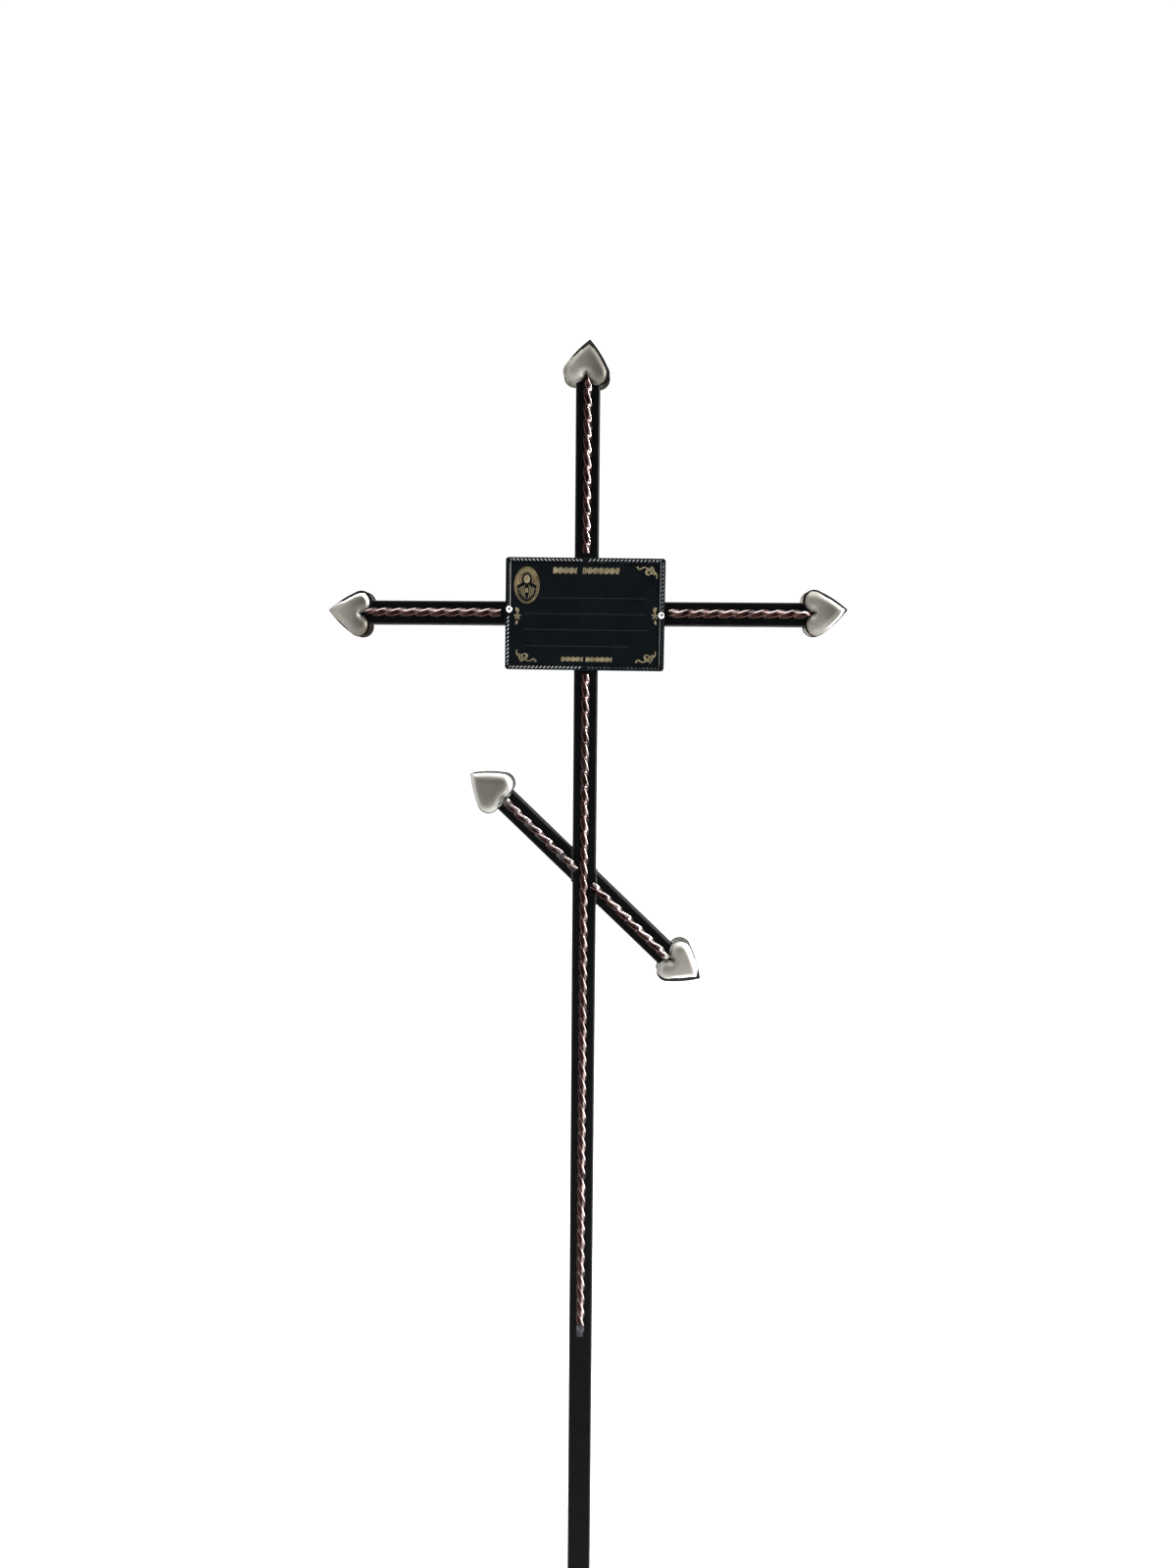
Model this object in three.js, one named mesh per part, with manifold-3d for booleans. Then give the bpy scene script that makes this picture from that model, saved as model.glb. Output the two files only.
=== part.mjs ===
// Metal grave cross: rectangular tube with a slanted lower bar, a twisted square bar laid along the
// front of every tube, a pair of pressed hearts on each free end, and a rope-edged plaque screwed
// over the crossing. Millimetres, +Z up, the front faces -Y, and the origin is the middle of the
// post where it is cut off flat at the ground.
import * as THREE from 'three';
import { mergeVertices } from 'three/addons/utils/BufferGeometryUtils.js';
import Module from 'manifold-3d';

// Rectangular tube
const tubeWidth = 30;
const tubeDepth = 20;
const tubeWall = 1.5;
const tubeCornerRadius = 2.5;

// Joints on the post, and how far each heart's tip lies from its joint, along the tube
const armHeight = 1366;
const slantHeight = 1033;
const slantAngle = 43.6;
const topReach = 334;
const armReach = 325;
const upperSlantReach = 194.5;
const lowerSlantReach = 197.5;

// Pressed hearts: outline, dome and flat lip
const heartLength = 54;
const lobeRadius = 14;
const lobeSpacing = 30;
const notchDepth = 17;
const heartTipWidth = 3;
const heartSideBulge = 1.4;
const heartCentre = 25;
const heartSheet = 1.2;
const heartRise = 9;
const heartLipWidth = 2;

// Dome of a heart, as shares of its rise at the top of its steep flank and at its shoulder
const flankShare = 0.45;
const shoulderShare = 0.9;

// How far each tube runs on under its hearts
const heartLap = 17;
const upperSlantLap = 3;

// Hearts as welded on: degrees of lean, and how far the lobes' middle is beside the tube's axis
const topLean = 6;
const leftLean = 6;
const rightLean = -6;
const upperSlantLean = -5.6;
const lowerSlantLean = -10.6;
const lobeShift = -2;

// Twisted square bars
const barSide = 8;
const barPitch = 75;
const barStepsPerTurn = 16;
const barPlaqueGap = 5;
const barHeartGap = 1;
const barLowerEnd = 425;

// Plaque with a raised rim of slanted rope strands
const plaqueWidth = 200;
const plaqueHeight = 140;
const plaqueCornerRadius = 4;
const plaqueSheet = 1.5;
const plaqueShiftX = -1.5;
const plaqueShiftZ = -1.2;
const plaqueTurn = 0.4;
const rimWidth = 6.5;
const rimRise = 2.5;
const strandPitch = 5.5;
const strandDepth = 1;

// Plaque screws, placed from the plaque's middle
const screwHeadRadius = 4.25;
const screwHeadRise = 2.6;
const screwShoulderRadius = 3.6;
const screwShoulderRise = 1.6;
const screwRecessRadius = 1.1;
const screwRecessDepth = 0.8;
const screwShankRadius = 2;
const screwReachInside = 6;
const screwHoleClearance = 0.3;
const leftScrewX = -95;
const leftScrewZ = 4.8;
const rightScrewX = 95.5;
const rightScrewZ = -0.6;

// Gap left between pieces that are welded or laid against each other
const jointGap = 0.3;

// How far a drill runs past what it cuts
const drillOverrun = 5;

// Steps of round forms
const cornerSteps = 3;
const lobeSteps = 8;
const heartSideSteps = 2;
const screwSteps = 10;

const halfWidth = tubeWidth / 2;
const halfDepth = tubeDepth / 2;
const barRadius = barSide / Math.SQRT2;
const barAxisY = -(halfDepth + jointGap + barRadius);

const blackPaint = new THREE.MeshStandardMaterial({ color: 0x0a0b0c, roughness: 0.3, metalness: 0.2 });
const copperPaint = new THREE.MeshStandardMaterial({ color: 0x5a2a1f, roughness: 0.35, metalness: 0.6 });
const nickel = new THREE.MeshStandardMaterial({ color: 0x9c9890, roughness: 0.3, metalness: 0.9 });
const plaqueEnamel = new THREE.MeshStandardMaterial({ color: 0x0e1216, roughness: 0.35, metalness: 0.2 });
const screwSteel = new THREE.MeshStandardMaterial({ color: 0xd5d8dc, roughness: 0.2, metalness: 1 });

const wasm = await Module();
wasm.setup();

function named(name, geometry, material) {
  const mesh = new THREE.Mesh(geometry, material);
  mesh.name = name;
  return mesh;
}

// Joins and cuts work on solids, and every piece goes back to a three.js geometry
function solidOf(geometry) {
  const bare = geometry.clone();
  bare.deleteAttribute('normal');
  bare.deleteAttribute('uv');
  const merged = mergeVertices(bare, 1e-4);
  return new wasm.Manifold(new wasm.Mesh({
    numProp: 3,
    vertProperties: merged.attributes.position.array,
    triVerts: new Uint32Array(merged.index.array),
  }));
}

function geometryOf(solid) {
  const mesh = solid.getMesh();
  const geometry = new THREE.BufferGeometry();
  geometry.setAttribute('position', new THREE.BufferAttribute(mesh.vertProperties, 3));
  geometry.setIndex(new THREE.BufferAttribute(mesh.triVerts, 1));
  geometry.computeVertexNormals();
  return geometry;
}

// A closed skin through loops of equally many points, with a fan to one point at each end
function closedSkin(startPoint, loops, endPoint) {
  const count = loops[0].length;
  const positions = [...startPoint, ...loops.flat(2), ...endPoint];
  const last = 1 + count * loops.length;
  const faces = [];
  for (let i = 0; i < count; i += 1) {
    const next = (i + 1) % count;
    faces.push(0, 1 + next, 1 + i);
    for (let row = 0; row < loops.length - 1; row += 1) {
      const here = 1 + row * count;
      const above = here + count;
      faces.push(here + i, here + next, above + next);
      faces.push(here + i, above + next, above + i);
    }
    faces.push(last, last - count + i, last - count + next);
  }
  const geometry = new THREE.BufferGeometry();
  geometry.setAttribute('position', new THREE.Float32BufferAttribute(positions, 3));
  geometry.setIndex(faces);
  return geometry;
}

function roundedRectangle(target, width, depth, radius) {
  const x = width / 2 - radius;
  const y = depth / 2 - radius;
  target.absarc(x, y, radius, 0, Math.PI / 2, false);
  target.absarc(-x, y, radius, Math.PI / 2, Math.PI, false);
  target.absarc(-x, -y, radius, Math.PI, 1.5 * Math.PI, false);
  target.absarc(x, -y, radius, 1.5 * Math.PI, 2 * Math.PI, false);
  target.closePath();
  return target;
}

// Hollow tube along +Z; its start is sloped to lie against the side of the post
function tubeGeometry(start, end, startSlope) {
  const section = roundedRectangle(new THREE.Shape(), tubeWidth, tubeDepth, tubeCornerRadius);
  const innerRadius = tubeCornerRadius - tubeWall;
  section.holes.push(
    roundedRectangle(new THREE.Path(), tubeWidth - 2 * tubeWall, tubeDepth - 2 * tubeWall, innerRadius),
  );
  const geometry = new THREE.ExtrudeGeometry(section, {
    depth: end - start,
    bevelEnabled: false,
    curveSegments: cornerSteps,
  });
  const points = geometry.attributes.position;
  for (let i = 0; i < points.count; i += 1) {
    const atStart = points.getZ(i) < (end - start) / 2;
    const slope = atStart ? startSlope * points.getX(i) : 0;
    points.setZ(i, points.getZ(i) + start + slope);
  }
  return geometry;
}

// Square bar twisted to the left, along +Z in front of the tube
function twistedBarGeometry(start, end) {
  const length = end - start;
  const section = new THREE.Shape();
  for (let corner = 0; corner < 4; corner += 1) {
    const angle = Math.PI / 4 + corner * Math.PI / 2;
    const method = corner === 0 ? 'moveTo' : 'lineTo';
    section[method](barRadius * Math.cos(angle), barRadius * Math.sin(angle));
  }
  section.closePath();
  const geometry = new THREE.ExtrudeGeometry(section, {
    depth: length,
    steps: Math.round(length / barPitch * barStepsPerTurn),
    bevelEnabled: false,
  });
  const points = geometry.attributes.position;
  for (let i = 0; i < points.count; i += 1) {
    const turn = -2 * Math.PI * points.getZ(i) / barPitch;
    const x = points.getX(i);
    const y = points.getY(i);
    points.setXYZ(
      i,
      x * Math.cos(turn) - y * Math.sin(turn),
      barAxisY + x * Math.sin(turn) + y * Math.cos(turn),
      start + points.getZ(i),
    );
  }
  return geometry;
}

// Half of the heart's outline, from the notch round one lobe to the tip, as [across, along] with
// the tip at zero and the lobes below it
function halfHeartOutline() {
  const lobeX = lobeSpacing / 2;
  const lobeZ = lobeRadius - heartLength;
  const outline = [[0, notchDepth - heartLength]];
  const tipDistance = Math.hypot(lobeX, lobeZ);
  const tangentAngle = Math.atan2(-lobeZ, -lobeX) - Math.acos(lobeRadius / tipDistance);
  for (let i = 0; i <= lobeSteps; i += 1) {
    const angle = Math.PI + (Math.PI + tangentAngle) * i / lobeSteps;
    outline.push([lobeX + lobeRadius * Math.cos(angle), lobeZ + lobeRadius * Math.sin(angle)]);
  }
  const [sideX, sideZ] = outline[outline.length - 1];
  const side = new THREE.QuadraticBezierCurve(
    new THREE.Vector2(sideX, sideZ),
    new THREE.Vector2(
      (sideX + heartTipWidth / 2) / 2 + 2 * heartSideBulge * Math.cos(tangentAngle),
      sideZ / 2 + 2 * heartSideBulge * Math.sin(tangentAngle),
    ),
    new THREE.Vector2(heartTipWidth / 2, 0),
  );
  for (let i = 1; i <= heartSideSteps; i += 1) {
    const point = side.getPoint(i / heartSideSteps);
    outline.push([point.x, point.y]);
  }
  return outline;
}

// Pressed heart: a domed shell of true sheet thickness, open at its back, with a flat lip
function heartShellGeometry() {
  const half = halfHeartOutline();
  const mirrored = half.slice(1).reverse().map(([x, z]) => [-x, z]);
  const outline = [...half, ...mirrored];
  const centreZ = heartCentre - heartLength;
  const meanRadius = heartLength / 2;
  const ring = (inset, rise) => outline.map(([x, z]) => {
    const share = 1 - inset / meanRadius;
    return [x * share, -rise, centreZ + (z - centreZ) * share];
  });
  const flank = heartLipWidth + heartSheet;
  const flankRise = heartRise * flankShare;
  const shoulder = meanRadius / 2;
  const shoulderRise = heartRise * shoulderShare;
  return closedSkin(
    [0, -(heartRise - heartSheet), centreZ],
    [
      ring(shoulder + heartSheet / 2, shoulderRise - heartSheet),
      ring(flank + heartSheet, flankRise - heartSheet / 2),
      ring(heartLipWidth + heartSheet, 0),
      ring(0, 0),
      ring(0, heartSheet),
      ring(heartLipWidth, heartSheet),
      ring(flank, flankRise),
      ring(shoulder, shoulderRise),
    ],
    [0, -heartRise, centreZ],
  );
}

// The pair of hearts on a free end, front and back of the tube, leaning about the lobes' middle
function heartPair(name, reach, lean) {
  const pair = new THREE.Group();
  const leanAngle = THREE.MathUtils.degToRad(lean);
  pair.position.set(lobeShift + (heartLength - lobeRadius) * Math.sin(leanAngle), 0, reach);
  pair.rotation.y = leanAngle;
  const front = named(`${name}_heart_front`, heartShellGeometry(), nickel);
  front.position.y = -(halfDepth + jointGap);
  const back = named(`${name}_heart_back`, heartShellGeometry(), nickel);
  back.position.y = halfDepth + jointGap;
  back.rotation.z = Math.PI;
  pair.add(front, back);
  return pair;
}

// Where a bar's outer end stops, just short of the lobes of a heart
function barEnd(reach) {
  return reach - heartLength - barHeartGap;
}

// A turned group for what runs outwards from a joint on the post, along its own +Z
function limb(jointHeight, degreesFromUp) {
  const group = new THREE.Group();
  group.position.z = jointHeight;
  group.rotation.y = THREE.MathUtils.degToRad(degreesFromUp);
  return group;
}

// Plaque screws and their holes: places in the plaque's own frame and seen from the crossing
const turnAngle = THREE.MathUtils.degToRad(plaqueTurn);
const screwPlaces = {
  left: new THREE.Vector2(leftScrewX, leftScrewZ),
  right: new THREE.Vector2(rightScrewX, rightScrewZ),
};
const screwHoleRadius = screwShankRadius + screwHoleClearance;
const rimTop = plaqueSheet + rimRise;
const headSeatY = -(halfDepth + jointGap + rimTop + jointGap);

function fromCrossing(place) {
  const turned = place.clone().rotateAround(new THREE.Vector2(0, 0), -turnAngle);
  return turned.add(new THREE.Vector2(plaqueShiftX, plaqueShiftZ));
}

function screwHole(x, z, frontY, backY) {
  const geometry = new THREE.CylinderGeometry(screwHoleRadius, screwHoleRadius, backY - frontY, screwSteps);
  geometry.translate(x, (frontY + backY) / 2, z);
  return solidOf(geometry);
}

// Outline of the rim for one quarter of the plaque, from the middle of its top edge to the middle
// of its right edge: the outer end of each strand line and its inner end, which lies a rim's width
// nearer both middles, so that the strands run at 45 degrees
function quarterRim() {
  const halfX = plaqueWidth / 2;
  const halfZ = plaqueHeight / 2;
  const stations = [];
  const stationsX = 2 * Math.round((halfX - rimWidth) / strandPitch);
  const stationsZ = 2 * Math.round((halfZ - rimWidth) / strandPitch);
  for (let i = 0; i < stationsX; i += 1) {
    const inner = (halfX - rimWidth) * i / stationsX;
    const outer = Math.min(inner + rimWidth, halfX - plaqueCornerRadius);
    stations.push({ outer: [outer, halfZ], inner: [inner, halfZ - rimWidth], crest: i % 2 === 1 });
  }
  for (let i = 0; i <= cornerSteps; i += 1) {
    const angle = Math.PI / 2 * (1 - i / cornerSteps);
    const outer = [
      halfX - plaqueCornerRadius * (1 - Math.cos(angle)),
      halfZ - plaqueCornerRadius * (1 - Math.sin(angle)),
    ];
    stations.push({ outer, inner: [halfX - rimWidth, halfZ - rimWidth], crest: false });
  }
  for (let i = stationsZ - 1; i >= 0; i -= 1) {
    const inner = (halfZ - rimWidth) * i / stationsZ;
    const outer = Math.min(inner + rimWidth, halfZ - plaqueCornerRadius);
    stations.push({ outer: [halfX, outer], inner: [halfX - rimWidth, inner], crest: i % 2 === 1 });
  }
  return stations;
}

// All four quarters of the rim in one turn round the plaque
function rimStations() {
  const quarter = quarterRim();
  const reversed = [...quarter].reverse();
  const flip = (stations, signX, signZ) => stations.map(({ outer, inner, crest }) => ({
    outer: [outer[0] * signX, outer[1] * signZ],
    inner: [inner[0] * signX, inner[1] * signZ],
    crest,
  }));
  return [
    ...reversed,
    ...flip(quarter, -1, 1),
    ...flip(reversed, -1, -1),
    ...flip(quarter, 1, -1),
  ];
}

function plaqueGeometry() {
  const stations = rimStations();
  const outerLoop = (rise) => stations.map(({ outer }) => [outer[0], -rise, outer[1]]);
  const middle = stations.map(({ outer, inner, crest }) => [
    (outer[0] + inner[0]) / 2,
    -(rimTop - (crest ? 0 : strandDepth)),
    (outer[1] + inner[1]) / 2,
  ]);
  const innerLoop = stations.map(({ inner }) => [inner[0], -plaqueSheet, inner[1]]);
  let solid = solidOf(closedSkin(
    [0, 0, 0],
    [outerLoop(0), outerLoop(plaqueSheet + strandDepth), middle, innerLoop],
    [0, -plaqueSheet, 0],
  ));
  for (const place of Object.values(screwPlaces)) {
    solid = solid.subtract(screwHole(place.x, place.y, -rimTop - drillOverrun, drillOverrun));
  }
  return geometryOf(solid);
}

// Domed screw with a small recess in its head, along Y with its head to the front
function screwGeometry() {
  const shankLength = rimTop + 2 * jointGap + tubeWall + screwReachInside;
  const profile = [
    [0, -shankLength],
    [screwShankRadius, -shankLength],
    [screwShankRadius, 0],
    [screwHeadRadius, 0],
    [screwShoulderRadius, screwShoulderRise],
    [screwRecessRadius, screwHeadRise],
    [0, screwHeadRise - screwRecessDepth],
  ];
  const geometry = new THREE.LatheGeometry(profile.map(([r, y]) => new THREE.Vector2(r, y)), screwSteps);
  geometry.rotateX(Math.PI);
  return geometry;
}

// Post, with the bars above and below the plaque and the hearts at its top
function post() {
  const group = new THREE.Group();
  const tubeEnd = armHeight + topReach - heartLength + heartLap;
  group.add(named('post', tubeGeometry(0, tubeEnd, 0), blackPaint));
  const plaqueMiddle = armHeight + plaqueShiftZ;
  const aboveStart = plaqueMiddle + plaqueHeight / 2 + barPlaqueGap;
  const belowEnd = plaqueMiddle - plaqueHeight / 2 - barPlaqueGap;
  const above = twistedBarGeometry(aboveStart, armHeight + barEnd(topReach));
  group.add(named('top_twisted_bar', above, copperPaint));
  group.add(named('post_twisted_bar', twistedBarGeometry(barLowerEnd, belowEnd), copperPaint));
  group.add(heartPair('top', armHeight + topReach, topLean));
  return group;
}

// Level arm on one side, with the hole for its plaque screw
function arm(side, degreesFromUp, lean) {
  const group = limb(armHeight, degreesFromUp);
  const outward = Math.sign(degreesFromUp);
  const place = fromCrossing(screwPlaces[side]);
  const tube = solidOf(tubeGeometry(halfWidth, armReach - heartLength + heartLap, 0));
  const hole = screwHole(-outward * place.y, outward * place.x, -halfDepth - drillOverrun, 0);
  group.add(named(`${side}_arm`, geometryOf(tube.subtract(hole)), blackPaint));
  const barStart = plaqueWidth / 2 + outward * plaqueShiftX + barPlaqueGap;
  const bar = twistedBarGeometry(barStart, barEnd(armReach));
  group.add(named(`${side}_twisted_bar`, bar, copperPaint));
  group.add(heartPair(side, armReach, lean));
  return group;
}

// Stub of the slanted bar on one side, mitred against the post, its twisted bar stopping short of
// the one that runs down the post
function slantStub(name, degreesFromUp, reach, lap, lean) {
  const group = limb(slantHeight, degreesFromUp);
  const sine = Math.abs(Math.sin(THREE.MathUtils.degToRad(degreesFromUp)));
  const cosine = Math.cos(THREE.MathUtils.degToRad(degreesFromUp)) * Math.sign(degreesFromUp);
  const tubeStart = (halfWidth + jointGap) / sine;
  const tube = tubeGeometry(tubeStart, reach - heartLength + lap, -cosine / sine);
  group.add(named(`${name}_slant`, tube, blackPaint));
  const barStart = (barRadius * (1 + Math.abs(cosine)) + jointGap) / sine;
  const bar = twistedBarGeometry(barStart, barEnd(reach));
  group.add(named(`${name}_slant_twisted_bar`, bar, copperPaint));
  group.add(heartPair(`${name}_slant`, reach, lean));
  return group;
}

// Plaque over the crossing with its two screws
function plaque() {
  const group = new THREE.Group();
  group.position.set(plaqueShiftX, 0, armHeight + plaqueShiftZ);
  group.rotation.y = turnAngle;
  const plate = named('plaque', plaqueGeometry(), plaqueEnamel);
  plate.position.y = -(halfDepth + jointGap);
  group.add(plate);
  for (const [side, place] of Object.entries(screwPlaces)) {
    const screw = named(`${side}_plaque_screw`, screwGeometry(), screwSteel);
    screw.position.set(place.x, headSeatY, place.y);
    group.add(screw);
  }
  return group;
}

const cross = new THREE.Group();
cross.add(post());
cross.add(arm('left', -90, leftLean));
cross.add(arm('right', 90, rightLean));
cross.add(slantStub('upper', slantAngle - 90, upperSlantReach, upperSlantLap, upperSlantLean));
cross.add(slantStub('lower', slantAngle + 90, lowerSlantReach, heartLap, lowerSlantLean));
cross.add(plaque());

export default cross;
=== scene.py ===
"""Looks of a metal grave cross: black tubes, copper-painted twisted bars, nickel hearts on the free
ends, and a rope-edged plaque with a gold print. Metres, +Z up, the front faces -Y."""
import math
from typing import NamedTuple

import bmesh
import bpy
from mathutils import Matrix, Vector, noise


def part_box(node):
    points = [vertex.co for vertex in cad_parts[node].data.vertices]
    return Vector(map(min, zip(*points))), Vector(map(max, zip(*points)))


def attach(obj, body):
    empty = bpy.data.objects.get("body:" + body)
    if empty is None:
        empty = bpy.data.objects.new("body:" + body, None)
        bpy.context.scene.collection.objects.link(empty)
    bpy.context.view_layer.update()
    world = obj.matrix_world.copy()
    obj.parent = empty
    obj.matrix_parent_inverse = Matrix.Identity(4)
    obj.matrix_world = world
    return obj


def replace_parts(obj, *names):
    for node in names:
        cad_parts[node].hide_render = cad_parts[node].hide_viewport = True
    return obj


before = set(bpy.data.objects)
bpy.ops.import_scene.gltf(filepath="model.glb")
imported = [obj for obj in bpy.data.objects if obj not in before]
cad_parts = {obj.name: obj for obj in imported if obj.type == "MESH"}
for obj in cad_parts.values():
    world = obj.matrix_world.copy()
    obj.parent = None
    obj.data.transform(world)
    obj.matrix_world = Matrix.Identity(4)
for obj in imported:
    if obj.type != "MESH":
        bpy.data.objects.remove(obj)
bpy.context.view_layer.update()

MM = 0.001

# Tubes, measured on the frame where it shows them
post_low, post_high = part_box("post")
TUBE_WIDTH = post_high.x - post_low.x
TUBE_DEPTH = post_high.y - post_low.y
TUBE_WALL = 1.5 * MM
TUBE_CORNER = 2.5 * MM
CUT_EDGE = 0.4 * MM

# Limbs: height of the joint on the post and degrees from straight up
ARM_HEIGHT = (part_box("left_arm")[0].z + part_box("left_arm")[1].z) / 2
SLANT_HEIGHT = 1033 * MM
SLANT_ANGLE = 43.6

# Twisted square bars
BAR_SIDE = 8 * MM
BAR_ROUND = 0.9 * MM
BAR_PITCH = 75 * MM
BAR_SINK = 0.6 * MM
BAR_STEP = 1.6 * MM
NOTCH_REACH = 9 * MM
NOTCH_DIVE = 3.4 * MM
# Side that the bars' painted highlight faces: facets and corners turned this way are painted pinkish white
HIGHLIGHT_SIDE = Vector((0.70, -0.85, 0.65)).normalized()

# Pressed hearts: outline, then the profile from the rim inwards
HEART_LENGTH = 54 * MM
LOBE_RADIUS = 14 * MM
LOBE_SPACING = 30 * MM
NOTCH_DEPTH = 12 * MM
FILLED_NOTCH_DEPTH = 1.3 * MM
TIP_WIDTH = 3 * MM
TIP_ROUND = 0.9 * MM
SIDE_BULGE = 1.4 * MM
HEART_CENTRE = 25 * MM
HEART_SHEET = 1.2 * MM
SHEET_EDGE_ROUND = 0.35 * MM
HEART_RISE = 9 * MM
LIP_WIDTH = 1.6 * MM
LIP_RISE = 1.5 * MM
# Painted highlight on the hearts' bevel: sharp-edged, or wide and fading out
SHARP_BAND = 3.6 * MM
SOFT_BAND = 8.5 * MM

# Plaque: rim of rope strands round a flat field
PLAQUE_TURN = 0.4
PLAQUE_WIDTH = 200 * MM
PLAQUE_HEIGHT = 140 * MM
PLAQUE_CORNER = 4 * MM
PLAQUE_SHEET = 1.5 * MM
RIM_WIDTH = 6.5 * MM
STRAND_PITCH = 5.0 * MM
PRINT_RISE = 0.12 * MM

# Screw heads
SCREW_HEAD = 4.25 * MM
SCREW_RISE = 2.6 * MM
SCREW_HOLE = 1.1 * MM

# Camera that matches the photo
CAMERA_PLACE = Vector((0.0510, -1.4337, 1.2612))
CAMERA_YAW = math.radians(-1.886)
CAMERA_PITCH = math.radians(-4.410)
CAMERA_ROLL = math.radians(0.480)
CAMERA_LENS = 25.84


# Nodes of the finishes

class Finish:
    """One material's node tree, with short calls to place and link its nodes."""

    def __init__(self, tree):
        self.tree = tree

    def add(self, kind, inputs=None, **settings):
        node = self.tree.nodes.new("ShaderNode" + kind)
        for name, value in settings.items():
            setattr(node, name, value)
        for socket, value in (inputs or {}).items():
            if isinstance(value, bpy.types.NodeSocket):
                self.tree.links.new(value, node.inputs[socket])
            else:
                node.inputs[socket].default_value = value
        return node

    def colour(self, factor, first, second):
        """Mix of two colours, by factor from the first to the second."""
        inputs = {0: factor, 6: first, 7: second}
        return self.add("Mix", inputs, data_type="RGBA").outputs[2]

    def sum(self, kind, first, second=0.5):
        return self.add("Math", {0: first, 1: second}, operation=kind, use_clamp=True).outputs[0]

    def between(self, value, low, high, new_low=0.0, new_high=1.0):
        """Value from low to high, spread from new_low to new_high."""
        inputs = {"Value": value, "From Min": low, "From Max": high, "To Min": new_low, "To Max": new_high}
        return self.add("MapRange", inputs).outputs[0]

    def mark(self, name):
        """Number that the mesh keeps on its points."""
        return self.add("Attribute", attribute_name=name).outputs["Fac"]

    def effect(self, group, **inputs):
        """One shared effect, placed with this material's own values."""
        named = {key.replace("_", " "): value for key, value in inputs.items()}
        node = self.add("Group", node_tree=group)
        for socket, value in named.items():
            if isinstance(value, bpy.types.NodeSocket):
                self.tree.links.new(value, node.inputs[socket])
            else:
                node.inputs[socket].default_value = value
        return node.outputs


def effect_group(name, inputs, outputs):
    """Empty shared effect with named number inputs and outputs, and its input and output nodes."""
    tree = bpy.data.node_groups.new(name, "ShaderNodeTree")
    for socket, value in inputs.items():
        made = tree.interface.new_socket(socket, in_out="INPUT", socket_type="NodeSocketFloat")
        made.default_value = value
    for socket in outputs:
        tree.interface.new_socket(socket, in_out="OUTPUT", socket_type="NodeSocketFloat")
    return Finish(tree), tree.nodes.new("NodeGroupInput").outputs, tree.nodes.new("NodeGroupOutput").inputs


def mottle_effect():
    """Slow cloudy change over a surface, and the fine pebble of sprayed paint."""
    make, given, result = effect_group("mottle", {"Scale": 40.0, "Pebble": 900.0}, ["Cloud", "Pebble"])
    place = make.add("TexCoord").outputs["Object"]
    cloud = make.add("TexNoise", {"Vector": place, "Scale": given["Scale"], "Detail": 4.0})
    pebble = make.add("TexNoise", {"Vector": place, "Scale": given["Pebble"], "Detail": 2.0})
    make.tree.links.new(make.between(cloud.outputs[0], 0.32, 0.68), result["Cloud"])
    make.tree.links.new(pebble.outputs[0], result["Pebble"])
    return make.tree


def wear_and_highlight_effect():
    """Wear that starts on marked edges and breaks up into patches; on the plaque's rim it breaks up a
    painted highlight instead.
    """
    inputs = {"Edge": 0.0, "Amount": 0.5, "Scale": 120.0}
    make, given, result = effect_group("edge wear", inputs, ["Worn"])
    place = make.add("TexCoord").outputs["Object"]
    patches = make.add("TexNoise", {"Vector": place, "Scale": given["Scale"], "Detail": 5.0})
    ragged = make.sum("SUBTRACT", patches.outputs[0], 0.35)
    reach = make.sum("MULTIPLY", given["Edge"], given["Amount"])
    wear_and_highlight_mask = make.sum("MULTIPLY", make.sum("ADD", reach, ragged), reach)
    make.tree.links.new(make.between(wear_and_highlight_mask, 0.12, 0.55), result["Worn"])
    return make.tree


def dust_effect():
    """Dust and dried rain that lie on what faces upwards and catch in patches elsewhere."""
    make, given, result = effect_group("dust", {"Amount": 0.5, "Scale": 60.0}, ["Dust"])
    place = make.add("TexCoord").outputs["Object"]
    facing = make.add("SeparateXYZ", {0: make.add("NewGeometry").outputs["Normal"]}).outputs[2]
    patches = make.add("TexNoise", {"Vector": place, "Scale": given["Scale"], "Detail": 6.0})
    upward = make.between(facing, 0.1, 1.0, 0.12, 1.0)
    broken = make.between(patches.outputs[0], 0.42, 0.72)
    dust = make.sum("MULTIPLY", make.sum("MULTIPLY", upward, broken), given["Amount"])
    make.tree.links.new(dust, result["Dust"])
    return make.tree


def scratch_effect():
    """Fine hairlines that run in two directions."""
    make, given, result = effect_group("hairlines", {"Scale": 300.0, "Stretch": 14.0}, ["Line"])
    place = make.add("TexCoord").outputs["Object"]
    lines = []
    for turn in (0.5, -0.9):
        turned = make.add("VectorRotate", {"Vector": place, "Angle": turn}, rotation_type="Y_AXIS")
        parts = make.add("SeparateXYZ", {0: turned.outputs[0]}).outputs
        long_way = make.add("Math", {0: parts[2], 1: given["Stretch"]}, operation="DIVIDE").outputs[0]
        joined = make.add("CombineXYZ", {0: parts[0], 1: parts[1], 2: long_way}).outputs[0]
        fine = make.add("TexNoise", {"Vector": joined, "Scale": given["Scale"], "Detail": 3.0})
        lines.append(make.between(fine.outputs[0], 0.6, 0.72))
    make.tree.links.new(make.sum("MAXIMUM", lines[0], lines[1]), result["Line"])
    return make.tree


MOTTLE = mottle_effect()
WEAR_AND_HIGHLIGHT = wear_and_highlight_effect()
DUST = dust_effect()
HAIRLINES = scratch_effect()


def new_finish(name, shader_values):
    """A new material with its Principled shader, whose plain values are set on its own sockets."""
    material = bpy.data.materials.new(name)
    material.use_nodes = True
    shader = material.node_tree.nodes["Principled BSDF"]
    for socket, value in shader_values.items():
        shader.inputs[socket].default_value = value
    return material, Finish(material.node_tree), shader


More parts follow.
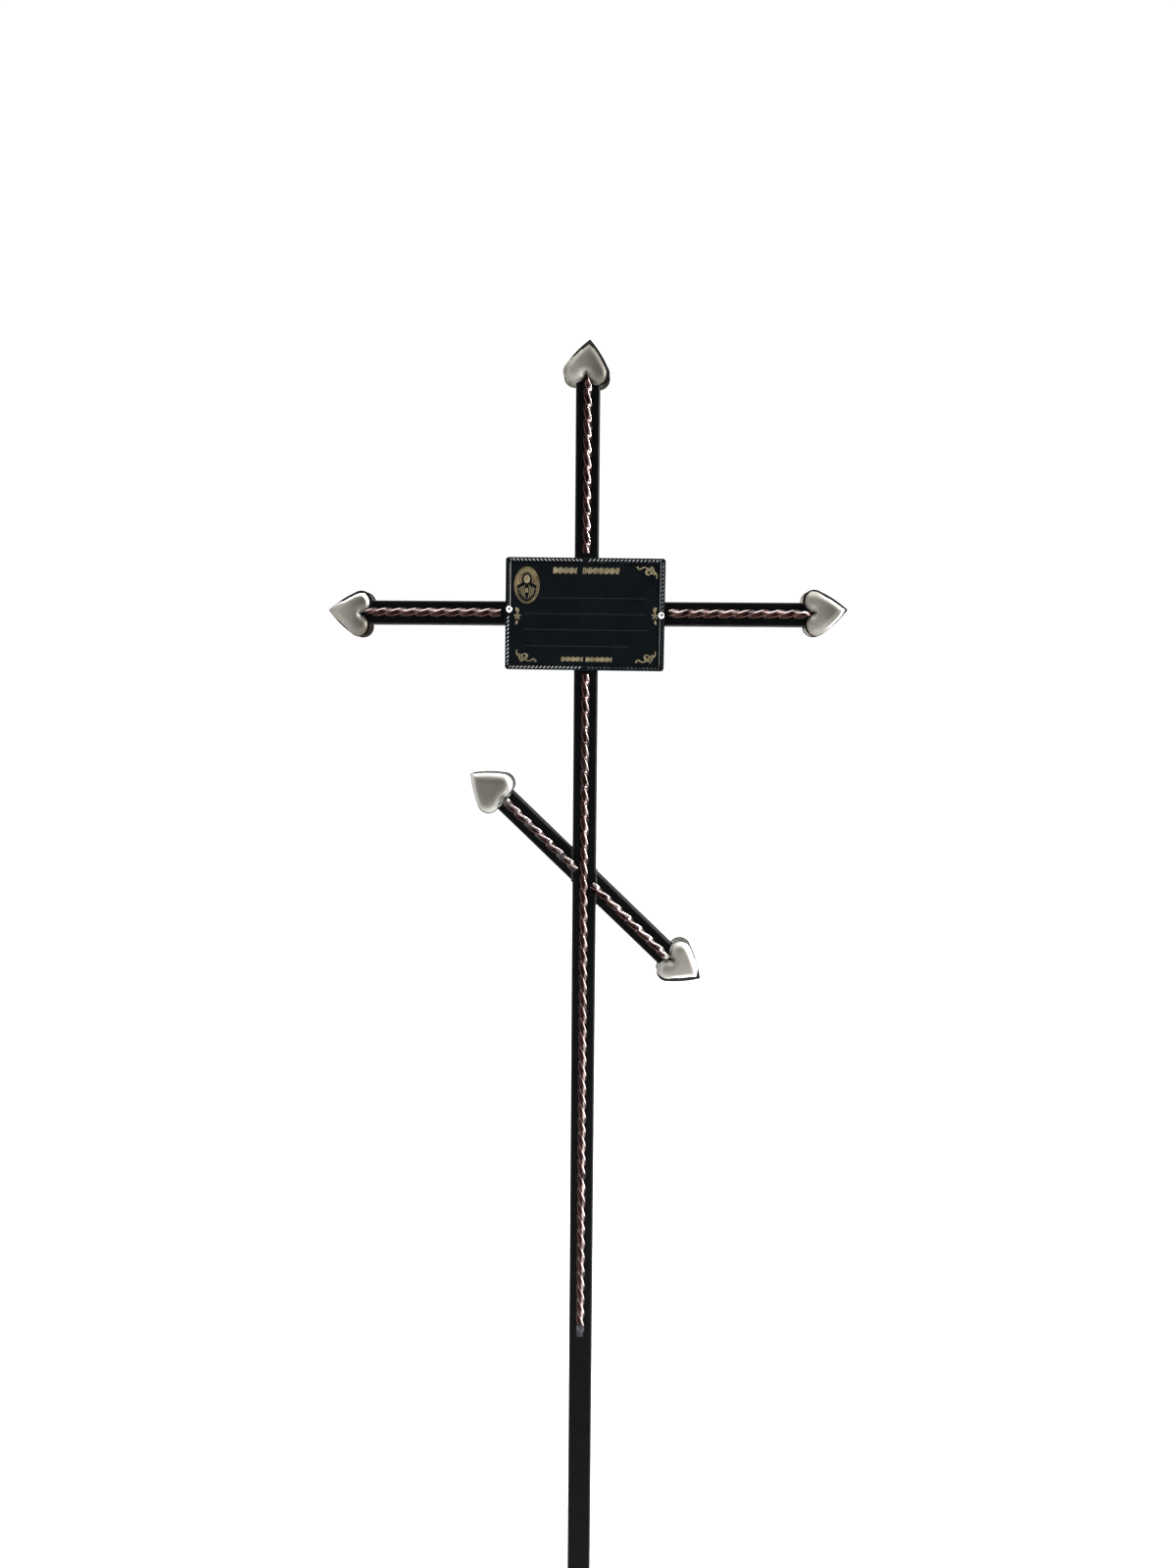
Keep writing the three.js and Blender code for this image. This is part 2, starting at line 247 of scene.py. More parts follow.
def join_finish(make, shader, colour, roughness, metallic=None, height=None, depth=0.05 * MM):
    """Links what changes over the surface to the shader."""
    make.tree.links.new(colour, shader.inputs["Base Color"])
    make.tree.links.new(roughness, shader.inputs["Roughness"])
    if metallic is not None:
        make.tree.links.new(metallic, shader.inputs["Metallic"])
    if height is not None:
        bump = make.add("Bump", {"Strength": 1.0, "Distance": depth, "Height": height})
        make.tree.links.new(bump.outputs[0], shader.inputs["Normal"])


def black_paint():
    material, make, shader = new_finish("black_gloss_paint", {"Specular IOR Level": 0.04})
    mottle = make.effect(MOTTLE, Scale=22.0, Pebble=700.0)
    wear_and_highlight_mask = make.effect(WEAR_AND_HIGHLIGHT, Edge=make.mark("edge"), Amount=0.75, Scale=90.0)["Worn"]
    dust = make.effect(DUST, Amount=0.2, Scale=45.0)["Dust"]
    black = make.colour(mottle["Cloud"], (0.0007, 0.0008, 0.0009, 1), (0.0009, 0.0015, 0.0017, 1))
    wear_and_painted_highlight = make.colour(wear_and_highlight_mask, black, (0.018, 0.019, 0.020, 1))
    dusty = make.colour(dust, wear_and_painted_highlight, (0.030, 0.028, 0.025, 1))
    gloss = make.between(mottle["Cloud"], 0.0, 1.0, 0.24, 0.36)
    rough = make.sum("ADD", gloss, make.sum("MULTIPLY", dust, 0.5))
    join_finish(make, shader, dusty, rough, height=mottle["Pebble"], depth=0.02 * MM)
    return material


def copper_paint():
    material, make, shader = new_finish("copper_paint_over_black", {"Specular IOR Level": 0.3})
    mottle = make.effect(MOTTLE, Scale=60.0, Pebble=1200.0)
    wear_and_highlight_mask = make.effect(WEAR_AND_HIGHLIGHT, Edge=make.mark("edge"), Amount=0.70, Scale=160.0)["Worn"]
    dust = make.effect(DUST, Amount=0.25, Scale=80.0)["Dust"]
    copper = make.colour(mottle["Cloud"], (0.006, 0.0018, 0.0017, 1), (0.027, 0.0085, 0.0075, 1))
    edged = make.colour(wear_and_highlight_mask, copper, (0.13, 0.068, 0.062, 1))
    # Painted highlight: pinkish white on the facets and corners that face right, front and up
    broken = make.between(mottle["Cloud"], 0.0, 1.0, 0.55, 1.0)
    wear_and_painted_highlight = make.between(make.sum("MULTIPLY", make.mark("painted_highlight"), broken), 0.22, 0.62)
    bright = make.colour(wear_and_painted_highlight, edged, (0.86, 0.70, 0.67, 1))
    ragged = make.between(mottle["Cloud"], 0.0, 1.0, -0.25, 0.25)
    cover = make.between(make.sum("ADD", make.mark("black"), ragged), 0.35, 0.65)
    blackened = make.colour(cover, bright, (0.004, 0.005, 0.008, 1))
    dusty = make.colour(dust, blackened, (0.06, 0.05, 0.045, 1))
    metallic = make.between(cover, 0.0, 1.0, 0.85, 0.1)
    gloss = make.between(mottle["Cloud"], 0.0, 1.0, 0.12, 0.22)
    rough = make.sum("ADD", gloss, make.sum("MULTIPLY", dust, 0.4))
    join_finish(make, shader, dusty, rough, metallic, mottle["Pebble"], 0.03 * MM)
    return material


def satin_nickel():
    material, make, shader = new_finish("satin_nickel_plate", {"Specular IOR Level": 0.04})
    mottle = make.effect(MOTTLE, Scale=38.0, Pebble=1500.0)
    tint = make.effect(MOTTLE, Scale=17.0, Pebble=500.0)
    line = make.effect(HAIRLINES, Scale=420.0, Stretch=18.0)["Line"]
    dust = make.effect(DUST, Amount=0.3, Scale=70.0)["Dust"]
    warm = make.colour(mottle["Cloud"], (0.245, 0.227, 0.207, 1), (0.29, 0.274, 0.254, 1))
    olive = make.colour(make.sum("MULTIPLY", tint["Cloud"], 0.5), warm, (0.185, 0.188, 0.155, 1))
    # Painted shade: one side of the dome darker
    shaded = make.colour(make.sum("MULTIPLY", make.mark("painted_shade"), 0.9), olive, (0.048, 0.045, 0.035, 1))
    # Painted highlight: near-white on the bevel inside the rim
    highlight_band = make.colour(make.mark("highlight_band"), shaded, (0.95, 0.94, 0.92, 1))
    # Brown painted shade towards the lobes, where the heart meets the tube; it also dulls the metal there
    tube_shade = make.between(make.sum("MULTIPLY", make.mark("tube_shade"), tint["Cloud"]), 0.05, 0.6, 0.0, 0.8)
    tube_shaded = make.colour(tube_shade, highlight_band, (0.10, 0.060, 0.045, 1))
    dusty = make.colour(dust, tube_shaded, (0.18, 0.165, 0.145, 1))
    # Black on the rim: partly paint, partly painted shade
    lip = make.between(make.mark("lip"), 0.43, 0.57)
    painted = make.colour(lip, dusty, (0.0015, 0.0015, 0.0016, 1))
    metallic = make.sum("SUBTRACT", 1.0, make.sum("MAXIMUM", lip, make.sum("MULTIPLY", tube_shade, 0.6)))
    gloss = make.between(mottle["Cloud"], 0.0, 1.0, 0.43, 0.51)
    rough = make.sum("ADD", gloss, make.sum("MULTIPLY", make.sum("MAXIMUM", line, dust), 0.04))
    join_finish(make, shader, painted, rough, metallic, mottle["Pebble"], 0.03 * MM)
    return material


def plaque_enamel():
    material, make, shader = new_finish("black_satin_enamel", {"Specular IOR Level": 0.05})
    mottle = make.effect(MOTTLE, Scale=14.0, Pebble=1100.0)
    line = make.effect(HAIRLINES, Scale=900.0, Stretch=9.0)["Line"]
    dust = make.effect(DUST, Amount=0.2, Scale=50.0)["Dust"]
    # Painted highlight: bright grey on the rope's crests and the rim's inner edge, broken into patches
    wear_and_highlight_mask = make.effect(WEAR_AND_HIGHLIGHT, Edge=make.mark("edge"), Amount=1.0, Scale=70.0)["Worn"]
    navy = make.colour(mottle["Cloud"], (0.0009, 0.0015, 0.0021, 1), (0.0015, 0.0026, 0.0037, 1))
    wear_and_painted_highlight = make.colour(wear_and_highlight_mask, navy, (0.30, 0.31, 0.32, 1))
    dusty = make.colour(dust, wear_and_painted_highlight, (0.04, 0.04, 0.04, 1))
    gloss = make.between(mottle["Cloud"], 0.0, 1.0, 0.28, 0.38)
    rough = make.sum("ADD", gloss, make.sum("MULTIPLY", line, 0.1))
    join_finish(make, shader, dusty, rough, height=mottle["Pebble"], depth=0.03 * MM)
    return material


def gold_print(name, old, new):
    """Dull gold print, mottled between an old and a new colour."""
    material, make, shader = new_finish(name, {"Specular IOR Level": 0.35, "Metallic": 0.25})
    mottle = make.effect(MOTTLE, Scale=130.0, Pebble=2500.0)
    wide = make.effect(MOTTLE, Scale=45.0, Pebble=900.0)
    gold = make.colour(mottle["Cloud"], old, new)
    tarnished = make.colour(make.sum("MULTIPLY", wide["Cloud"], 0.5), gold, old)
    rough = make.between(mottle["Cloud"], 0.0, 1.0, 0.45, 0.6)
    join_finish(make, shader, tarnished, rough, height=mottle["Pebble"], depth=0.02 * MM)
    return material


def faint_print():
    material, make, shader = new_finish("faint_gold_dots", {"Specular IOR Level": 0.3})
    mottle = make.effect(MOTTLE, Scale=90.0, Pebble=2500.0)
    dots = make.colour(mottle["Cloud"], (0.008, 0.009, 0.0085, 1), (0.017, 0.018, 0.016, 1))
    rough = make.between(mottle["Cloud"], 0.0, 1.0, 0.45, 0.6)
    join_finish(make, shader, dots, rough, height=mottle["Pebble"], depth=0.02 * MM)
    return material


def screw_steel():
    material, make, shader = new_finish("bright_screw_steel", {"Metallic": 1.0})
    mottle = make.effect(MOTTLE, Scale=260.0, Pebble=3000.0)
    line = make.effect(HAIRLINES, Scale=900.0, Stretch=10.0)["Line"]
    steel = make.colour(mottle["Cloud"], (0.82, 0.82, 0.83, 1), (0.92, 0.92, 0.92, 1))
    # Painted shade: near-black in the small recess of each head
    recess_shaded = make.colour(make.mark("edge"), steel, (0.015, 0.015, 0.015, 1))
    gloss = make.between(mottle["Cloud"], 0.0, 1.0, 0.14, 0.24)
    rough = make.sum("ADD", gloss, make.sum("MULTIPLY", line, 0.12))
    join_finish(make, shader, recess_shaded, rough, height=mottle["Pebble"], depth=0.01 * MM)
    return material


def weld_metal():
    material, make, shader = new_finish("painted_weld", {"Specular IOR Level": 0.4})
    mottle = make.effect(MOTTLE, Scale=170.0, Pebble=1300.0)
    dust = make.effect(DUST, Amount=0.5, Scale=90.0)["Dust"]
    bare = make.sum("MULTIPLY", make.mark("bare"), make.between(mottle["Cloud"], 0.2, 0.7))
    black = make.colour(mottle["Cloud"], (0.003, 0.003, 0.0035, 1), (0.008, 0.008, 0.009, 1))
    grey = make.colour(bare, black, (0.30, 0.30, 0.27, 1))
    dusty = make.colour(dust, grey, (0.06, 0.055, 0.05, 1))
    rough = make.between(mottle["Cloud"], 0.0, 1.0, 0.34, 0.55)
    join_finish(make, shader, dusty, rough, make.sum("MULTIPLY", bare, 0.8), mottle["Pebble"], 0.12 * MM)
    return material


BLACK_PAINT = (black_paint(), "black_paint")
COPPER_PAINT = (copper_paint(), "copper_paint")
SATIN_NICKEL = (satin_nickel(), "satin_nickel")
PLAQUE_ENAMEL = (plaque_enamel(), "plaque_enamel")
GOLD_PRINT = (gold_print("dull_gold_print", (0.13, 0.105, 0.058, 1), (0.30, 0.245, 0.145, 1)), "gold_print")
OLD_GOLD = (gold_print("brown_gold_print", (0.060, 0.044, 0.022, 1), (0.19, 0.145, 0.075, 1)), "gold_print")
FAINT_PRINT = (faint_print(), "gold_print")
SCREW_STEEL = (screw_steel(), "screw_steel")
WELD_METAL = (weld_metal(), "black_paint")


# Meshes

def smooth(value):
    """Soft step from 0 to 1."""
    value = min(max(value, 0.0), 1.0)
    return value * value * (3 - 2 * value)


def skin(loops, ends="capped"):
    """Points and faces through loops of equally many points: capped, open, or joined in a ring."""
    count = len(loops[0])
    points = [point for loop in loops for point in loop]
    rows = len(loops) if ends == "ring" else len(loops) - 1
    faces = []
    for row in range(rows):
        here = row * count
        there = (row + 1) % len(loops) * count
        for i in range(count):
            after = (i + 1) % count
            faces.append((here + i, here + after, there + after, there + i))
    if ends == "capped":
        faces.append(tuple(reversed(range(count))))
        faces.append(tuple(range(len(points) - count, len(points))))
    return points, faces


def gather(parts):
    """Several meshes as one, each with its points, faces and marks."""
    points, faces, marks = [], [], {}
    for part_points, part_faces, part_marks in parts:
        start = len(points)
        points.extend(part_points)
        faces.extend(tuple(start + i for i in face) for face in part_faces)
        for name, values in part_marks.items():
            marks.setdefault(name, []).extend(values)
    return points, faces, marks


def make_piece(name, points, faces, finish, place=Matrix.Identity(4), marks=None, sharp=35, closed=True):
    """One piece of the cross. Its marks are numbers on its points, for its finish to read."""
    mesh = bpy.data.meshes.new(name)
    mesh.from_pydata([tuple(place @ Vector(point)) for point in points], [], faces)
    for mark, values in (marks or {}).items():
        mesh.attributes.new(mark, "FLOAT", "POINT").data.foreach_set("value", values)
    if closed:
        shape = bmesh.new()
        shape.from_mesh(mesh)
        bmesh.ops.recalc_face_normals(shape, faces=shape.faces)
        shape.to_mesh(mesh)
        shape.free()
    mesh.shade_smooth()
    mesh.set_sharp_from_angle(angle=math.radians(sharp))
    material, slot = finish
    mesh.materials.append(material)
    piece = bpy.data.objects.new(name, mesh)
    bpy.context.scene.collection.objects.link(piece)
    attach(piece, "root")
    return piece


def limb_frame(joint_height, degrees_from_up):
    """Frame of a limb: its joint on the post, with +Z running outwards along the limb."""
    turn = Matrix.Rotation(math.radians(degrees_from_up), 4, "Y")
    return Matrix.Translation((0, 0, joint_height)) @ turn


def span(node, place, axis=2):
    """Lowest and highest place of a CAD node along one axis of a frame."""
    inverse = place.inverted()
    along = [(inverse @ vertex.co)[axis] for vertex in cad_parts[node].data.vertices]
    return min(along), max(along)


def rounded_rectangle(width, depth, radius, steps):
    """Points (x, y) round the rectangle, each with 1 in the middle of a corner and 0 on a flat."""
    outline = []
    for quarter, (side_x, side_y) in enumerate(((1, 1), (-1, 1), (-1, -1), (1, -1))):
        for i in range(steps + 1):
            angle = math.pi / 2 * (quarter + i / steps)
            x = side_x * (width / 2 - radius) + radius * math.cos(angle)
            y = side_y * (depth / 2 - radius) + radius * math.sin(angle)
            outline.append((x, y, math.sin(math.pi * i / steps)))
    return outline


def tube(name, place, slope=0.0):
    """Hollow tube in place of its CAD node, its start sloped to lie against the post."""
    low, high = span(name, place)
    start = low + slope_reach(slope)
    steps = 8
    sizes = (
        (start, TUBE_WALL),
        (start, CUT_EDGE),
        (start + CUT_EDGE, 0.0),
        (high - CUT_EDGE, 0.0),
        (high, CUT_EDGE),
        (high, TUBE_WALL),
    )
    loops, edge = [], []
    for along, inset in sizes:
        corner = max(TUBE_CORNER - inset, 0.2 * MM)
        section = rounded_rectangle(TUBE_WIDTH - 2 * inset, TUBE_DEPTH - 2 * inset, corner, steps)
        lift = slope if along <= start + CUT_EDGE else 0.0
        loops.append([Vector((x, y, along + lift * x)) for x, y, _ in section])
        edge.extend(max(mark, 1.0 if inset == CUT_EDGE else 0.0) for _, _, mark in section)
    points, faces = skin(loops, "ring")
    piece = make_piece(f"painted_{name}", points, faces, BLACK_PAINT, place, {"edge": edge})
    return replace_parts(piece, name)


def slope_reach(slope):
    """How far a sloped start reaches below the point where the tube's axis starts."""
    return abs(slope) * TUBE_WIDTH / 2


def bar_section():
    """Rounded square round the bar's axis, with 1 on its corners and 0 on its flats."""
    outline = rounded_rectangle(BAR_SIDE, BAR_SIDE, BAR_ROUND, 4)
    middles = []
    for quarter in range(4):
        corner = outline[5 * quarter:5 * quarter + 5]
        after = outline[(5 * quarter + 5) % len(outline)]
        last = corner[-1]
        flats = [
            (last[0] + (after[0] - last[0]) * share, last[1] + (after[1] - last[1]) * share, 0.0)
            for share in (0.08, 0.5, 0.92)
        ]
        middles.extend([(x, y, 0.55 + 0.45 * mark) for x, y, mark in corner] + flats)
    return middles


def bar_piece(name, place, along, low, axis_y, size_at, sink_at, black_at):
    """Twisted square bar between two places along a limb. low is where its twist starts; size_at
    and sink_at give its thickness and how deep it dives into the tube, by the share of its length."""
    start, end = along
    count = max(round((end - start) / BAR_STEP), 4)
    section = bar_section()
    loops, edge, painted_highlight, black = [], [], [], []
    for i in range(count + 1):
        share = i / count
        reach = start + (end - start) * share
        turn = -2 * math.pi * (reach - low) / BAR_PITCH
        cosine, sine = size_at(share) * math.cos(turn), size_at(share) * math.sin(turn)
        middle = axis_y + sink_at(share)
        loop = []
        for x, y, _ in section:
            loop.append(Vector((x * cosine - y * sine, middle + x * sine + y * cosine, reach)))
        loops.append(loop)
        for point, (_, _, mark) in zip(loop, section):
            outwards = place.to_3x3() @ Vector((point.x, point.y - middle, 0)).normalized()
            edge.append(mark)
            # Painted highlight on the points that face right, front and up
            painted_highlight.append((0.45 + 0.55 * mark) * smooth((outwards.dot(HIGHLIGHT_SIDE) - 0.60) / 0.28))
        black.extend([black_at((place @ loop[0]).z)] * len(section))
    points, faces = skin(loops)
    marks = {"edge": edge, "painted_highlight": painted_highlight, "black": black}
    return make_piece(name, points, faces, COPPER_PAINT, place, marks, 50)


def twisted_bar(name, place, black_at, into_notch):
    """Square bar twisted to the left, in place of its CAD node, with its end in the heart's notch."""
    low, high = span(name, place)
    front, back = span(name, place, axis=1)
    axis_y = (front + back) / 2 + BAR_SINK

    def cut_end(share):
        to_end = min(share, 1 - share) * (high - low)
        return 0.9 + 0.1 * smooth(to_end / (1.2 * MM))

    def level(share):
        return 0.0

    def thinning(share):
        return 0.97 - 0.42 * share

    def diving(share):
        return NOTCH_DIVE * share ** 1.5

    piece = bar_piece(f"painted_{name}", place, (low, high), low, axis_y, cut_end, level, black_at)
    if into_notch:
        reach = (high - 1 * MM, high + NOTCH_REACH)
        bar_piece(f"{name}_end", place, reach, low, axis_y, thinning, diving, black_at)
    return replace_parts(piece, name)


def sweep(path, radius_at, sides=10, closed=False):
    """Round bead along a path, with its radius given along it from 0 to 1."""
    count = len(path)
    loops = []
    normal = None
    for i, point in enumerate(path):
        before = path[i - 1] if closed or i else point
        after = path[(i + 1) % count] if closed or i + 1 < count else point
        tangent = (after - before).normalized()
        if normal is None:
            normal = tangent.orthogonal().normalized()
        normal = (normal - tangent * normal.dot(tangent)).normalized()
        other = tangent.cross(normal)
        radius = radius_at(i / (count - 1))
        turns = [2 * math.pi * k / sides for k in range(sides)]
        loops.append([point + (normal * math.cos(a) + other * math.sin(a)) * radius for a in turns])
    return skin(loops, "ring" if closed else "capped")


def bead(start, end, radius, seed, step=0.8 * MM, ripple=2.6 * MM):
    """Weld bead from one point to another, with ripples and uneven thickness."""
    length = (end - start).length
    count = max(int(length / step), 6)
    path = [start.lerp(end, i / count) for i in range(count + 1)]
    path = [p + noise.noise_vector(p * 180 + Vector((seed, 0, 0))) * radius * 0.25 for p in path]

    def radius_at(share):
        rounded = math.sqrt(max(1 - abs(2 * share - 1) ** 6, 0.02))
        waves = 1 + 0.10 * math.sin(2 * math.pi * share * length / ripple)
        uneven = 1 + 0.35 * noise.noise(Vector((share * length * 90, seed, 0.5)))
        return radius * rounded * waves * uneven

    return sweep(path, radius_at)


def blob(centre, size, seed, rings=10, sides=14):
    """Lump of weld or paint round a centre."""
    loops = []
    for row in range(rings + 1):
        polar = math.pi * (0.04 + 0.92 * row / rings)
        loop = []
        for k in range(sides):
            turn = 2 * math.pi * k / sides
            flat = math.sin(polar)
            way = Vector((flat * math.cos(turn), flat * math.sin(turn), math.cos(polar)))
            lumpy = 1 + 0.28 * noise.noise(way * 1.7 + Vector((seed, seed * 0.7, 0)))
            loop.append(centre + Vector((way[axis] * size[axis] * lumpy for axis in range(3))))
        loops.append(loop)
    return skin(loops)


def welds(name, place, shapes, bare):
    """Beads and blobs of one place as one piece. bare is how far grey metal shows through the paint."""
    parts = [(points, faces, {"bare": [bare] * len(points)}) for points, faces in shapes]
    points, faces, marks = gather(parts)
    return make_piece(name, points, faces, WELD_METAL, place, marks, sharp=70)


# Tubes and what joins them

JOINTS = {
    "post": (0.0, 0.0),
    "top": (ARM_HEIGHT, 0.0),
    "left": (ARM_HEIGHT, -90.0),
    "right": (ARM_HEIGHT, 90.0),
    "upper_slant": (SLANT_HEIGHT, SLANT_ANGLE - 90.0),
    "lower_slant": (SLANT_HEIGHT, SLANT_ANGLE + 90.0),
}
LIMBS = {name: limb_frame(*joint) for name, joint in JOINTS.items()}


def start_slope(limb):
    """Slope of a tube's start that lies against the side of the upright post."""
    angle = math.radians(JOINTS[limb][1])
    return -math.cos(angle) / math.sin(angle) if limb.endswith("slant") else 0.0


def joint_beads(limb, node, radius=1.7 * MM):
    """Weld beads round the start of a tube, where it meets the post. The arms have none in front,
    where the plaque lies flat on them."""
    slope = start_slope(limb)
    start = span(node, LIMBS[limb])[0] + slope_reach(slope)
    half_x, half_y = TUBE_WIDTH / 2, TUBE_DEPTH / 2
    reach_x, reach_y = half_x - 1 * MM, half_y - 1 * MM
    front = [(-reach_x, -half_y), (reach_x, -half_y)]
    back = [(-reach_x, half_y), (reach_x, half_y)]
    left = [(-half_x, -reach_y), (-half_x, reach_y)]
    right = [(half_x, -reach_y), (half_x, reach_y)]
    shapes = []
    sides = (back, left, right) if limb in ("left", "right") else (front, back, left, right)
    for seed, (first, last) in enumerate(sides):
        ends = [Vector((x, y, start + slope * x)) for x, y in (first, last)]
        shapes.append(bead(ends[0], ends[1], radius, seed + len(limb)))
    return welds(f"{limb}_joint_weld", LIMBS[limb], shapes, 0.0)


def tubes():
    tube("post", LIMBS["post"])
    for limb, node in (
        ("left", "left_arm"),
        ("right", "right_arm"),
        ("upper_slant", "upper_slant"),
        ("lower_slant", "lower_slant"),
    ):
        tube(node, LIMBS[limb], start_slope(limb))
        joint_beads(limb, node)


# Twisted bars

BLACKENED_FROM = 1120 * MM
BLACKENED_TO = 1235 * MM
BLACKENED_FADE = 40 * MM
BLACKENED_END = 24 * MM
POST_BAR_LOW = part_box("post_twisted_bar")[0].z


def black_on_post_bar(height):
    """Black paint that caught the post's bar under the plaque and at its lower end."""
    rise = smooth((height - BLACKENED_FROM) / BLACKENED_FADE + 0.5)
    fall = smooth((BLACKENED_TO - height) / BLACKENED_FADE + 0.5)
    return max(0.42 * rise * fall, smooth(1.2 - (height - POST_BAR_LOW) / BLACKENED_END))


def bar_tacks(limb, node, spacing=120 * MM):
    """Small tack welds that hold a bar to its tube, on both sides in turn."""
    place = LIMBS[limb]
    low, high = span(node, place)
    count = max(round((high - low) / spacing), 1)
    shapes = []
    for i in range(count):
        along = low + (high - low) * (i + 0.5) / count
        side = 1 if i % 2 else -1
        centre = Vector((side * 3.6 * MM, -TUBE_DEPTH / 2 - 0.6 * MM, along))
        shapes.append(blob(centre, (1.9 * MM, 1.2 * MM, 2.8 * MM), i * 3.1 + len(node)))
    return welds(f"{node}_tacks", place, shapes, 0.0)


def bars():
    for limb, node in (
        ("top", "top_twisted_bar"),
        ("post", "post_twisted_bar"),
        ("left", "left_twisted_bar"),
        ("right", "right_twisted_bar"),
        ("upper_slant", "upper_slant_twisted_bar"),
        ("lower_slant", "lower_slant_twisted_bar"),
    ):
        faded = 0.42 if limb == "upper_slant" else 0.0
        black_at = black_on_post_bar if limb == "post" else lambda height, faded=faded: faded
        twisted_bar(node, LIMBS[limb], black_at, into_notch=limb not in ("post", "upper_slant"))
        bar_tacks(limb, node)


# Hearts. Bearings are degrees clockwise from straight up, seen from the front.

class Heart(NamedTuple):
    """How one pair of hearts is set and finished."""
    lean: float        # degrees against the tube
    black: tuple       # black on the rim, partly paint and partly painted shade: bearing, spread and width in millimetres
    highlight_patches: tuple      # painted highlight on the bevel: bearing, spread and strength
    highlight_width: float  # how far the painted highlight on the bevel reaches inwards
    painted_shade: tuple     # painted shade on one side of the dome: bearing and strength
    tube_shade: float       # brown painted shade towards the lobes, where the heart meets the tube
    notch: float       # depth of the front heart's notch that paint and weld leave open


HEARTS = {
    "top": Heart(
        lean=6.0,
        black=((0, 30, 7.0), (60, 75, 5.0), (-40, 25, 5.0)),
        highlight_patches=(),
        highlight_width=SHARP_BAND,
        painted_shade=(80, 1.0),
        tube_shade=0.25,
        notch=NOTCH_DEPTH,
    ),
    "left": Heart(
        lean=6.0,
        black=((-5, 40, 5.0), (90, 60, 3.6), (-140, 25, 2.2)),
        highlight_patches=((0, 60, 1.0),),
        highlight_width=SHARP_BAND,
        painted_shade=(95, 0.9),
        tube_shade=0.75,
        notch=NOTCH_DEPTH,
    ),
    "right": Heart(
        lean=-6.0,
        black=((35, 60, 5.0), (100, 45, 1.8), (-90, 60, 2.6)),
        highlight_patches=((80, 75, 1.0),),
        highlight_width=SHARP_BAND,
        painted_shade=(95, 0.9),
        tube_shade=0.45,
        notch=NOTCH_DEPTH,
    ),
    "upper_slant": Heart(
        lean=-5.6,
        black=((-80, 60, 0.9), (10, 60, 0.6), (180, 70, 0.9)),
        highlight_patches=((20, 180, 0.5),),
        highlight_width=SOFT_BAND,
        painted_shade=(0, 0.6),
        tube_shade=0.0,
        notch=FILLED_NOTCH_DEPTH,
    ),
    "lower_slant": Heart(
        lean=-10.6,
        black=((175, 60, 8.0), (60, 60, 0.8)),
        highlight_patches=((110, 110, 0.75), (-60, 60, 0.35)),
        highlight_width=SOFT_BAND,
        painted_shade=(0, 0.15),
        tube_shade=0.1,
        notch=NOTCH_DEPTH,
    ),
}
LOBE_STEPS = 42
SIDE_STEPS = 14
TIP_STEPS = 4
DOME_RINGS = 30
# Brown painted shade on the hearts towards the lobes, where they meet the tube
TUBE_SHADE_FROM = 36 * MM
TUBE_SHADE_FADE = 20 * MM
NOTCH_BLACK_WIDTH = 1.0 * MM
NOTCH_BLACK_LENGTH = 4.5 * MM
DOME_POWER = 2.3


def heart_outline(notch):
    """Outline as (across, along) from the notch round one lobe to the tip and back by the other."""
    lobe_x, lobe_z = LOBE_SPACING / 2, LOBE_RADIUS - HEART_LENGTH
    half = [Vector((0, notch - HEART_LENGTH))]
    first = math.pi + math.asin(max(LOBE_RADIUS - notch + 1 * MM, 0.0) / LOBE_RADIUS)
    tangent = math.atan2(-lobe_z, -lobe_x) - math.acos(LOBE_RADIUS / math.hypot(lobe_x, lobe_z))
    for i in range(LOBE_STEPS + 1):
        angle = first + (2 * math.pi + tangent - first) * i / LOBE_STEPS
        across, along = LOBE_RADIUS * math.cos(angle), LOBE_RADIUS * math.sin(angle)
        half.append(Vector((lobe_x + across, lobe_z + along)))
    side = half[-1]
    end = Vector((TIP_WIDTH / 2, -TIP_ROUND))
    bulge = Vector((math.cos(tangent), math.sin(tangent))) * 2 * SIDE_BULGE
    pull = (side + end) / 2 + bulge
    for i in range(1, SIDE_STEPS + 1):
        share = i / SIDE_STEPS
        half.append(side * (1 - share) ** 2 + pull * 2 * share * (1 - share) + end * share ** 2)
    for i in range(1, TIP_STEPS + 1):
        angle = math.pi / 2 * i / TIP_STEPS
        half.append(Vector((TIP_WIDTH / 2 * math.cos(angle), TIP_ROUND * (math.sin(angle) - 1))))
    return half + [Vector((-point.x, point.y)) for point in reversed(half[1:-1])]


def soft_distance(place, outline):
    """Distance from a place to an outline all round it, without a crease midway between its sides."""
    pull = 0.0
    for i, point in enumerate(outline):
        length = (outline[(i + 1) % len(outline)] - outline[i - 1]).length / 2
        pull += length / (place - point).length ** 3
    return math.sqrt(2 / pull)


